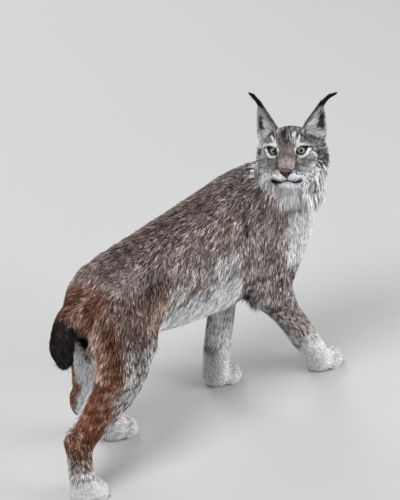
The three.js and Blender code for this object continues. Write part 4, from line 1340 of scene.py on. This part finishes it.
def colour_points(mesh, colours):
    layer = mesh.attributes.new("Coat", "FLOAT_COLOR", "POINT")
    rgba = np.ones((len(colours), 4), np.float32)
    rgba[:, :3] = np.clip(colours, 0, 1)
    layer.data.foreach_set("color", rgba.ravel())


def hand_in(piece, kind, slot, *nodes):
    """Gives a finished piece its material and its place in the frame."""
    piece.data.materials.clear()
    piece.data.materials.append(material_of(kind))
    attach(piece, "root")
    if nodes:
        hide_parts(*nodes)


# Eyes, nose and whiskers


def smooth_all(mesh):
    mesh.polygons.foreach_set("use_smooth", np.ones(len(mesh.polygons), bool))


def add_ball(name, segments, rings):
    """A unit ball to shape, its poles on Z."""
    bpy.ops.object.select_all(action="DESELECT")
    bpy.ops.mesh.primitive_uv_sphere_add(segments=segments, ring_count=rings, radius=1.0)
    ball = bpy.context.object
    ball.name = ball.data.name = name
    smooth_all(ball.data)
    return ball


def build_eye(end):
    """An eyeball with its pole the way it looks and the cornea standing a little proud."""
    eye = add_ball("eyeball_" + end, 48, 40)
    mesh = eye.data
    mesh.uv_layers[0].name = "eye"
    p = points_of(mesh)
    off_axis = np.degrees(np.arccos(np.clip(p[:, 2], -1, 1)))
    radius = EYE_RADIUS + 0.9 * step(52, 8, off_axis)
    turn = Vector((0, 0, 1)).rotation_difference(Vector(TO_CAMERA)).to_matrix()
    put_points(mesh, ((p * radius[:, None]) @ np.array(turn).T + EYES[end]) * MM)
    return eye


NOSE_HALF = np.array([9.0, 17.0, 11.5])


def build_nose():
    """The nose leather: broad above, narrow below, with comma-shaped nostrils and a groove."""
    nose = add_ball("nose_pad", 72, 48)
    mesh = nose.data
    p = points_of(mesh)
    f, s, u = p[:, 2], p[:, 0], p[:, 1]
    taper = 0.50 + 0.50 * step(-1.0, 0.45, u)
    across = s * NOSE_HALF[1] * taper
    rise = u * NOSE_HALF[2]
    ahead = f * NOSE_HALF[0] - 0.10 * (rise + 4) * (f > 0)
    a = np.abs(across)
    hole = np.exp(-(((a - 7.6) / 2.7) ** 2 + ((rise + 2.0 + 0.4 * (a - 8)) / 2.5) ** 2))
    slit = np.exp(-(((a - 11.8) / 3.4) ** 2 + ((rise + 0.4 + 0.25 * (a - 12)) / 1.3) ** 2))
    groove = np.exp(-(across / 1.1) ** 2) * step(5, -1, rise)
    ahead = ahead - (hole * 4.8 + slit * 2.4 + groove * 1.4) * step(0.0, 0.3, f)
    put_points(mesh, from_head(np.stack([ahead, across, rise], axis=1) + to_head(NOSE)) * MM)
    with editing(mesh) as bm:
        bmesh.ops.recalc_face_normals(bm, faces=bm.faces)
    smooth_all(mesh)
    # A dark rim on the lower edge of the leather, and the nostrils and the groove painted near black as
    # painted shade of their openings.
    edge = step(0.5, 0.95, np.hypot(s, u)) * (1 - step(0.0, 0.6, u))
    edge = np.clip(edge + hole * 1.6 + slit * 1.3 + groove, 0, 1)
    base = np.tile(linear("#5d4340"), (len(p), 1)) * (1 - 0.7 * step(0.45, -0.35, u))[:, None]
    colour_points(mesh, base * (1 - edge[:, None]) + linear("#191010") * edge[:, None])
    return nose


def bent(start, middle, end, shares):
    """Points on lines bent through a middle, for arrays of starts, middles and ends."""
    t = np.asarray(shares)[None, :, None]
    return start[:, None] * (1 - t) ** 2 + 2 * middle[:, None] * t * (1 - t) + end[:, None] * t ** 2


WHISKER_ROOTS = [(62, 26, -30), (60, 32, -30), (64, 24, -35), (61, 30, -35), (57, 36, -35),
                 (62, 26, -40), (58, 33, -41)]


def build_whiskers():
    """Stiff pale whiskers from the dark spots of the upper lip, swept out and down."""
    roots, ends = [], []
    for sign in (1, -1):
        for n, (f, s, u) in enumerate(WHISKER_ROOTS):
            roots.append((f, s * sign, u))
            spread = (n - 3) * 6
            ends.append((f + 2 - 5 * (n % 3), sign * (s + 42 + 5 * (n % 2)), u - 14 - spread * 0.6))
    roots, ends = np.array(roots, float), np.array(ends, float)
    middles = roots * 0.5 + ends * 0.5 + (10, 0, 7)
    line = from_head(bent(roots, middles, ends, (0.0, 0.25, 0.5, 0.75, 1.0)))
    half = np.tile([0.34, 0.28, 0.2], (len(line), 1))
    shades = np.tile(linear("#e9e7e2"), (len(line), 5, 1))
    uv = np.stack([np.linspace(0.1, 0.9, len(line)), np.full(len(line), 0.5)], axis=1)
    return lock_mesh("whiskers", line, half, 1.0, np.tile(UP, (len(line), 1)), shades, uv)


# Ears

EAR_WIDTH, EAR_THICK, EAR_HEIGHT = 66.0, 7.0, 72.0
EAR_ROWS, EAR_COLUMNS, EAR_SUNK = 44, 22, 0.34


def ear_frame(sign):
    """An ear's base, tip and the line between, and the directions across it and out of its opening."""
    base, tip = from_head((-24, sign * 52, 60)), from_head((-20, sign * 75, 60 + EAR_HEIGHT))
    axis = tip - base
    outward = FORWARD * 0.86 + SIDE * sign * 0.5
    wide = unit(np.cross(outward, axis))
    return base, tip, axis, wide, unit(np.cross(axis, wide))


def build_ear(end):
    """A cupped ear: a thin shell, its front hollow and its rim rounded."""
    sign = 1 if end == "left" else -1
    base, _, axis, wide, opening = ear_frame(sign)
    v = (1 + EAR_SUNK) * np.arange(EAR_ROWS + 1) / EAR_ROWS - EAR_SUNK
    around = np.arange(EAR_COLUMNS * 2) / EAR_COLUMNS
    u = np.where(around <= 1, -np.cos(around * math.pi), np.cos((around - 1) * math.pi))
    back = np.where(around <= 1, 0.0, 1.0)
    v, u, back = np.repeat(v, len(u)), np.tile(u, len(v)), np.tile(back, len(v))
    high = np.maximum(v, 0)
    half = (EAR_WIDTH / 2 - 1.2) * (1 - 0.93 * high ** 1.3)
    cup = 20 * (1 - 0.75 * high)
    thick = (EAR_THICK - 1.5) * (1 - 0.55 * high) * np.sqrt(np.clip(1.03 - u * u, 0, 1))
    deep = cup * (u * u - 0.55) - (1.0 + back * thick) + 0.4 * (1 - back)
    points = base + axis * v[:, None] + wide * (u * half)[:, None] + opening * deep[:, None]
    ring = EAR_COLUMNS * 2
    faces = [(r * ring + k, r * ring + (k + 1) % ring, (r + 1) * ring + (k + 1) % ring, (r + 1) * ring + k)
             for r in range(EAR_ROWS) for k in range(ring)]
    faces += [tuple(range(ring)), tuple(EAR_ROWS * ring + k for k in range(ring))]
    mesh = bpy.data.meshes.new("ear_skin_" + end)
    mesh.from_pydata((points * MM).tolist(), [], faces)
    with editing(mesh) as bm:
        bmesh.ops.recalc_face_normals(bm, faces=bm.faces)
        bmesh.ops.triangulate(bm, faces=[f for f in bm.faces if len(f.verts) > 4])
    smooth_all(mesh)
    ear = add_object(mesh.name, mesh)
    across = u * (1 if wide @ SIDE > 0 else -1) * sign
    shape = dict(u=across, v=v, inside=(1 - back) * step(1.0, 0.9, np.abs(u)), sign=sign)
    return ear, shape


EAR_HOLLOW_SHADE = {"left": 0.3, "right": 0.0}  # how far the painted shade of each ear's hollow spreads in from the outer rim


def ear_colours(across, v, inside, deep):
    """Pale inside with dark streaks and painted shade in the hollow, dark behind with a grey middle, black
    above.
    """
    c = np.tile(COAT["dark"], (len(v), 1))
    c = paint(c, "ear", hill(v, 0.40, 0.28) * hill(across, 0, 0.6) * 0.7)
    c = paint(c, "temple", step(0.3, 0.0, v))
    c = paint(c, "cheek", step(0.7, 0.95, np.abs(across)) * step(0.85, 0.6, v) * 0.75)
    within = inside * step(-0.99, -0.93, across)
    streaks = cloud(np.stack([v * 26 - across * 7, across * 2.2, 0 * v], axis=1), 1.0, 61)
    c = paint(c, "ear", within)
    c = paint(c, "dark", within * step(0.52, 0.72, streaks) * (0.25 + 0.5 * step(0.25, 0.5, v)))
    c = paint(c, "white", within * step(0.45, 0.25, streaks) * step(0.6, 0.3, v) * 0.8)
    # Painted shade in the cup of the ear: its hollow near black, and on the ear given a spread, a grey inside
    # above the middle.
    hollow = step(0.34 - deep, 0.48 - deep, across + 0.25 * (streaks - 0.5)) * step(0.90, 0.76, across)
    c = paint(c, "temple", within * step(0.35, 0.6, v) * deep * 2)
    hollow = hollow * step(0.06, 0.18, v) * step(0.66 + deep * 0.3, 0.45 + deep * 0.3, v)
    c = paint(c, "rim", within * hollow * 0.95)
    c = paint(c, "ear", inside * step(0.88, 0.96, across) * 0.8)
    return paint(c, "black", step(0.82, 0.92, v))


def build_ear_fur(end, ear, shape):
    """Short hair over the back and rims of an ear, and long pale hair across its opening."""
    mesh = ear.data
    p, n = points_of(mesh) / MM, normals_of(mesh)
    _, _, axis, wide, opening = ear_frame(shape["sign"])
    to_side = wide * (1 if wide @ SIDE > 0 else -1) * shape["sign"]
    inside, across, v = shape["inside"], shape["u"], shape["v"]
    up = unit(axis)
    along = up + to_side * (inside * 0.75)[:, None] - opening * 0.1
    tufty = inside * step(0.25, -0.5, across) * step(0.8, 0.55, v)
    fields = dict(
        p=p, n=n, along=unit(along - n * dot(along, n)[:, None]), length=8.0 + 17 * tufty + 2 * inside,
        wide=1.3 + 0.3 * tufty, lift=1.7 + 7.5 * tufty + 0.8 * inside, bend=np.zeros(len(p)),
    )
    masks = dict(u=across, v=v, inside=inside)
    chosen = step(-0.2, -0.05, v) * step(1.0, 0.97, v)
    roots = sow(mesh, fields, masks, chosen, 4600, 70 + shape["sign"])

    def colour_of(points, normals, values):
        return ear_colours(values["u"], values["v"], values["inside"], EAR_HOLLOW_SHADE[end])

    uv = np.stack([0.02 + 0.46 * (roots["masks"]["u"] + 1) / 2 + 0.5 * (roots["masks"]["inside"] > 0.5),
                   0.02 + 0.96 * (roots["masks"]["v"] + EAR_SUNK) / (1 + EAR_SUNK)], axis=1)
    return grow("fur_ear_" + end, roots, uv, colour_of, clump=6, gather=0.35, contrast=0.9)


EAR_TUFT_LENGTH, EAR_TUFT_STRANDS = 37, 190
EAR_TUFT_LEAN = {"left": 0.9, "right": 0.5}


def build_ear_tuft(end):
    """The black tuft on an ear's tip: long fine locks drawn to a point and bent outward."""
    sign = 1 if end == "left" else -1
    _, tip, axis, wide, opening = ear_frame(sign)
    up = unit(axis)
    strands = EAR_TUFT_STRANDS
    rng = np.random.default_rng(90 + sign)
    low = rng.random(strands) ** 1.4 * 0.26
    ring = rng.random(strands) * 2 * math.pi
    half = (EAR_WIDTH / 2) * (1 - 0.93 * (1 - low) ** 1.3) * 0.8
    start = tip - axis * low[:, None] + wide * (np.cos(ring) * half)[:, None]
    start = start + opening * (np.sin(ring) * 2.4 - 5)[:, None]
    lean = EAR_TUFT_LEAN[end]
    reach = rng.random(strands) ** 0.45 * 0.5 + 0.5
    jitter = rng.normal(size=(strands, 3)) * 1.8
    middle = tip + (up * 0.36 + SIDE * (sign * lean * 0.28)) * EAR_TUFT_LENGTH + jitter * 0.9 + opening * -2
    far = tip + up * (EAR_TUFT_LENGTH * (1 - lean * 0.36)) + SIDE * sign * EAR_TUFT_LENGTH * lean
    finish = middle + (far - middle) * reach[:, None] + jitter * (1.4 - reach)[:, None]
    line = bent(start, middle, finish, (0.0, 0.3, 0.6, 0.82, 1.0))
    widths = np.stack([np.full(strands, k) for k in (1.0, 0.9, 0.6)], axis=1)
    shades = np.tile(COAT["black"], (strands, 5, 1)) * (0.7 + 0.8 * rng.random((strands, 1, 1)))
    uv = np.stack([0.05 + 0.9 * ring / (2 * math.pi), 0.05 + 0.9 * low / 0.26], axis=1)
    return lock_mesh("tuft_ear_" + end, line, widths, 0.8, np.tile(opening, (strands, 1)), shades, uv)


# The stage


AIM = (np.array([204.7, -150.7, 570.3]) + CAD_SHIFT) * MM  # at the middle of the photo
CAMERA_FAR, CAMERA_AHEAD, SENSOR = 16.0, 0.30, 36.0


def build_stage(floor_colour, light_power):
    world = bpy.data.worlds.new("studio_air")
    bpy.context.scene.world = world
    world.use_nodes = True
    back = world.node_tree.nodes["Background"]
    back.inputs["Color"].default_value = (*linear("#e9ebee"), 1)
    back.inputs["Strength"].default_value = 0.56
    bpy.ops.object.select_all(action="DESELECT")
    bpy.ops.mesh.primitive_plane_add(size=40)
    ground = bpy.context.object
    ground.name = "studio_floor"
    material, tree = new_material("floor_paper")
    shader = add_node(tree, "ShaderNodeBsdfPrincipled", (200, 0), Roughness=0.9)
    shader.inputs["Base Color"].default_value = (*floor_colour, 1)
    finish_material(tree, shader)
    ground.data.materials.append(material)
    lamps = {
        "key_light": ((-2.4, -0.4, 4.0), 1.9, light_power * 1.1),
        "fill_light": ((2.2, -3.2, 1.6), 3.0, light_power * 1.05),
        "back_light": ((1.2, 3.0, 2.6), 2.0, light_power * 0.45),
    }
    for name, (at, size, power) in lamps.items():
        lamp = bpy.data.lights.new(name, "AREA")
        lamp.shape, lamp.size, lamp.energy = "DISK", size, power
        holder = bpy.data.objects.new(name, lamp)
        bpy.context.scene.collection.objects.link(holder)
        holder.location = at
        holder.visible_glossy = name == "key_light"  # one highlight in each eye
        holder.rotation_euler = (Vector((0, 0, 0.4)) - Vector(at)).to_track_quat("-Z", "Y").to_euler()
    lens_data = bpy.data.cameras.new("photo_camera")
    camera = bpy.data.objects.new("photo_camera", lens_data)
    bpy.context.scene.collection.objects.link(camera)
    target = AIM - TO_CAMERA * np.dot(AIM, TO_CAMERA) + TO_CAMERA * CAMERA_AHEAD
    camera.location = Vector(target + TO_CAMERA * CAMERA_FAR)
    camera.rotation_euler = Vector(TO_CAMERA).to_track_quat("Z", "Y").to_euler()
    lens_data.sensor_width = SENSOR
    lens_data.lens = SENSOR * CAMERA_FAR / (PHOTO_HIGH * MM_PER_PX * MM)
    lens_data.clip_end = 100
    bpy.context.scene.camera = camera
    bpy.context.scene.view_settings.view_transform = "Standard"


# Add-on

STATE = {}


class LynxSettings(bpy.types.PropertyGroup):
    """What a user would change."""
    light_power: FloatProperty(
        name="Key light", description="Power of the key light", default=112.0, unit="POWER")
    floor_colour: FloatVectorProperty(
        name="Floor", description="Colour of the floor", subtype="COLOR",
        default=tuple(linear("#c2c2c1")), size=3)


class LYNX_OT_hide(bpy.types.Operator):
    """Builds the hide and combs it: the lie, length and depth of the coat at each of its points"""
    bl_idname = "lynx.hide"
    bl_label = "Hide"

    def execute(self, context):
        hide, outer = build_hide()
        STATE["comb"] = comb(hide, outer)
        STATE["masks"] = masks_of(STATE["comb"])
        STATE["hide"] = hide
        smooth_all(hide.data)
        shades = markings(STATE["comb"]["p"], STATE["comb"]["n"], STATE["masks"])
        # Under the fur the hide takes the coat's colours at half strength, painted shade between the locks;
        # the front of the face keeps nearly its full colour.
        bare = to_head(STATE["comb"]["p"])[:, 0] > 30
        colour_points(hide.data, shades * np.where(bare, 0.95, 0.5)[:, None])
        hand_in(hide, "hide", "coat_back", *FLESH)
        return {"FINISHED"}


class LYNX_OT_fur(bpy.types.Operator):
    """Grows the fur of the trunk, neck, tail and legs"""
    bl_idname = "lynx.fur"
    bl_label = "Fur"

    def execute(self, context):
        for name in FUR:
            piece = grow_fur(STATE["hide"], STATE["comb"], STATE["masks"], name)
            hand_in(piece, "fur", SLOTS.get(name.split("_")[1], "coat_back"))
        return {"FINISHED"}


class LYNX_OT_head_fur(bpy.types.Operator):
    """Grows the short fur of the face, the beard and the long ruff"""
    bl_idname = "lynx.head_fur"
    bl_label = "Head fur"

    def execute(self, context):
        hide, comb_map, masks = STATE["hide"], STATE["comb"], STATE["masks"]
        p = comb_map["p"]
        q = to_head(p)
        clear = np.ones(len(p))
        for end in EYES:
            x, y, z, _ = eye_view(p, end)
            near = (np.abs(x) < 24) & (np.abs(y) < 20) & (z > -6)
            clear *= np.where(near, step(1.2, 3.0, lid_gap(x, y)), 1)
        nose = (q - to_head(NOSE)) / (NOSE_HALF + (3, -1.5, -0.5))
        clear *= step(0.96, 1.12, np.linalg.norm(nose, axis=1))
        lips = hill(q[:, 2] - mouth_line(q[:, 1]), -0.4, 2.2)
        clear *= 1 - lips * (q[:, 0] > 40) * (np.abs(q[:, 1]) < MOUTH_HALF)
        head = (comb_map["part"] == FLESH.index("head")) * clear
        low = q[:, 2] < -62
        front = q[:, 0] > 18
        axis = (HEAD_CENTRE - FORWARD * 60, HEAD_CENTRE + FORWARD * 60, SIDE)
        for name, chosen, count, look in (
            ("fur_face", head * front * ~low, 23000, dict(clump=4.5, gather=0.25, contrast=0.8, wild=0.0)),
            ("fur_crown", head * ~front * ~low, 9500, dict(clump=7, contrast=1.1, wild=0.02)),
            ("fur_beard", head * low, 4000, dict(clump=10, gather=0.7, contrast=1.1, rings=2)),
        ):
            roots = sow(hide.data, comb_map, masks, chosen, count, len(name))
            if name == "fur_face":
                roots["lift"] = np.minimum(roots["lift"], 4.0)
            piece = grow(name, roots, wrap(roots["p"], *axis), markings, **look)
            hand_in(piece, "fur", "coat_face")
        for end in ("left", "right"):
            name = "fur_ruff_" + end
            members = (comb_map["part"] == FLESH.index("ruff_" + end)) * clear
            roots = sow(hide.data, comb_map, masks, members, 5200, sum(map(ord, name)))
            piece = grow(name, roots, wrap(roots["p"], *axis), markings,
                         clump=11, gather=0.7, contrast=1.3, rings=2)
            hand_in(piece, "fur", "coat_ruff")
        return {"FINISHED"}


class LYNX_OT_ears(bpy.types.Operator):
    """Shapes the ears with their hair and black tufts"""
    bl_idname = "lynx.ears"
    bl_label = "Ears"

    def execute(self, context):
        for end in EYES:
            ear, shape = build_ear(end)
            # The ear's skin takes its colours at 0.7, painted shade under the ear's hair.
            colour_points(ear.data, ear_colours(shape["u"], shape["v"], shape["inside"], EAR_HOLLOW_SHADE[end]) * 0.7)
            hand_in(ear, "hide", "coat_face", "ear_" + end)
            hand_in(build_ear_fur(end, ear, shape), "fur", "coat_face")
            hand_in(build_ear_tuft(end), "fur", "coat_black", "ear_tuft_" + end)
        return {"FINISHED"}


class LYNX_OT_eyes(bpy.types.Operator):
    """Makes the eyeballs"""
    bl_idname = "lynx.eyes"
    bl_label = "Eyes"

    def execute(self, context):
        for end in EYES:
            hand_in(build_eye(end), "eye", "eye_glass", "eye_" + end)
        return {"FINISHED"}


class LYNX_OT_nose(bpy.types.Operator):
    """Makes the nose leather and the whiskers"""
    bl_idname = "lynx.nose"
    bl_label = "Nose and whiskers"

    def execute(self, context):
        hand_in(build_nose(), "nose", "nose_leather", "nose")
        hand_in(build_whiskers(), "fur", "coat_face")
        return {"FINISHED"}


class LYNX_OT_stage(bpy.types.Operator):
    """Sets the floor, lights and camera"""
    bl_idname = "lynx.stage"
    bl_label = "Stage"

    def execute(self, context):
        settings = context.scene.lynx
        build_stage(settings.floor_colour, settings.light_power)
        return {"FINISHED"}


class LYNX_PT_panel(bpy.types.Panel):
    """Lists the steps in order"""
    bl_idname = "LYNX_PT_panel"
    bl_label = "Lynx"
    bl_space_type = "VIEW_3D"
    bl_region_type = "UI"
    bl_category = "Lynx"

    def draw(self, context):
        for key in LynxSettings.__annotations__:
            self.layout.prop(context.scene.lynx, key)
        for step_class in STEPS:
            self.layout.operator(step_class.bl_idname)


STEPS = (LYNX_OT_hide, LYNX_OT_fur, LYNX_OT_head_fur, LYNX_OT_ears, LYNX_OT_eyes, LYNX_OT_nose, LYNX_OT_stage)


def register():
    for item in (LynxSettings, *STEPS, LYNX_PT_panel):
        bpy.utils.register_class(item)
    bpy.types.Scene.lynx = PointerProperty(type=LynxSettings)


def unregister():
    del bpy.types.Scene.lynx
    for item in reversed((LynxSettings, *STEPS, LYNX_PT_panel)):
        bpy.utils.unregister_class(item)


def main():
    register()
    for step_class in STEPS:
        group, name = step_class.bl_idname.split(".")
        getattr(getattr(bpy.ops, group), name)()


if __name__ == "__main__":
    main()
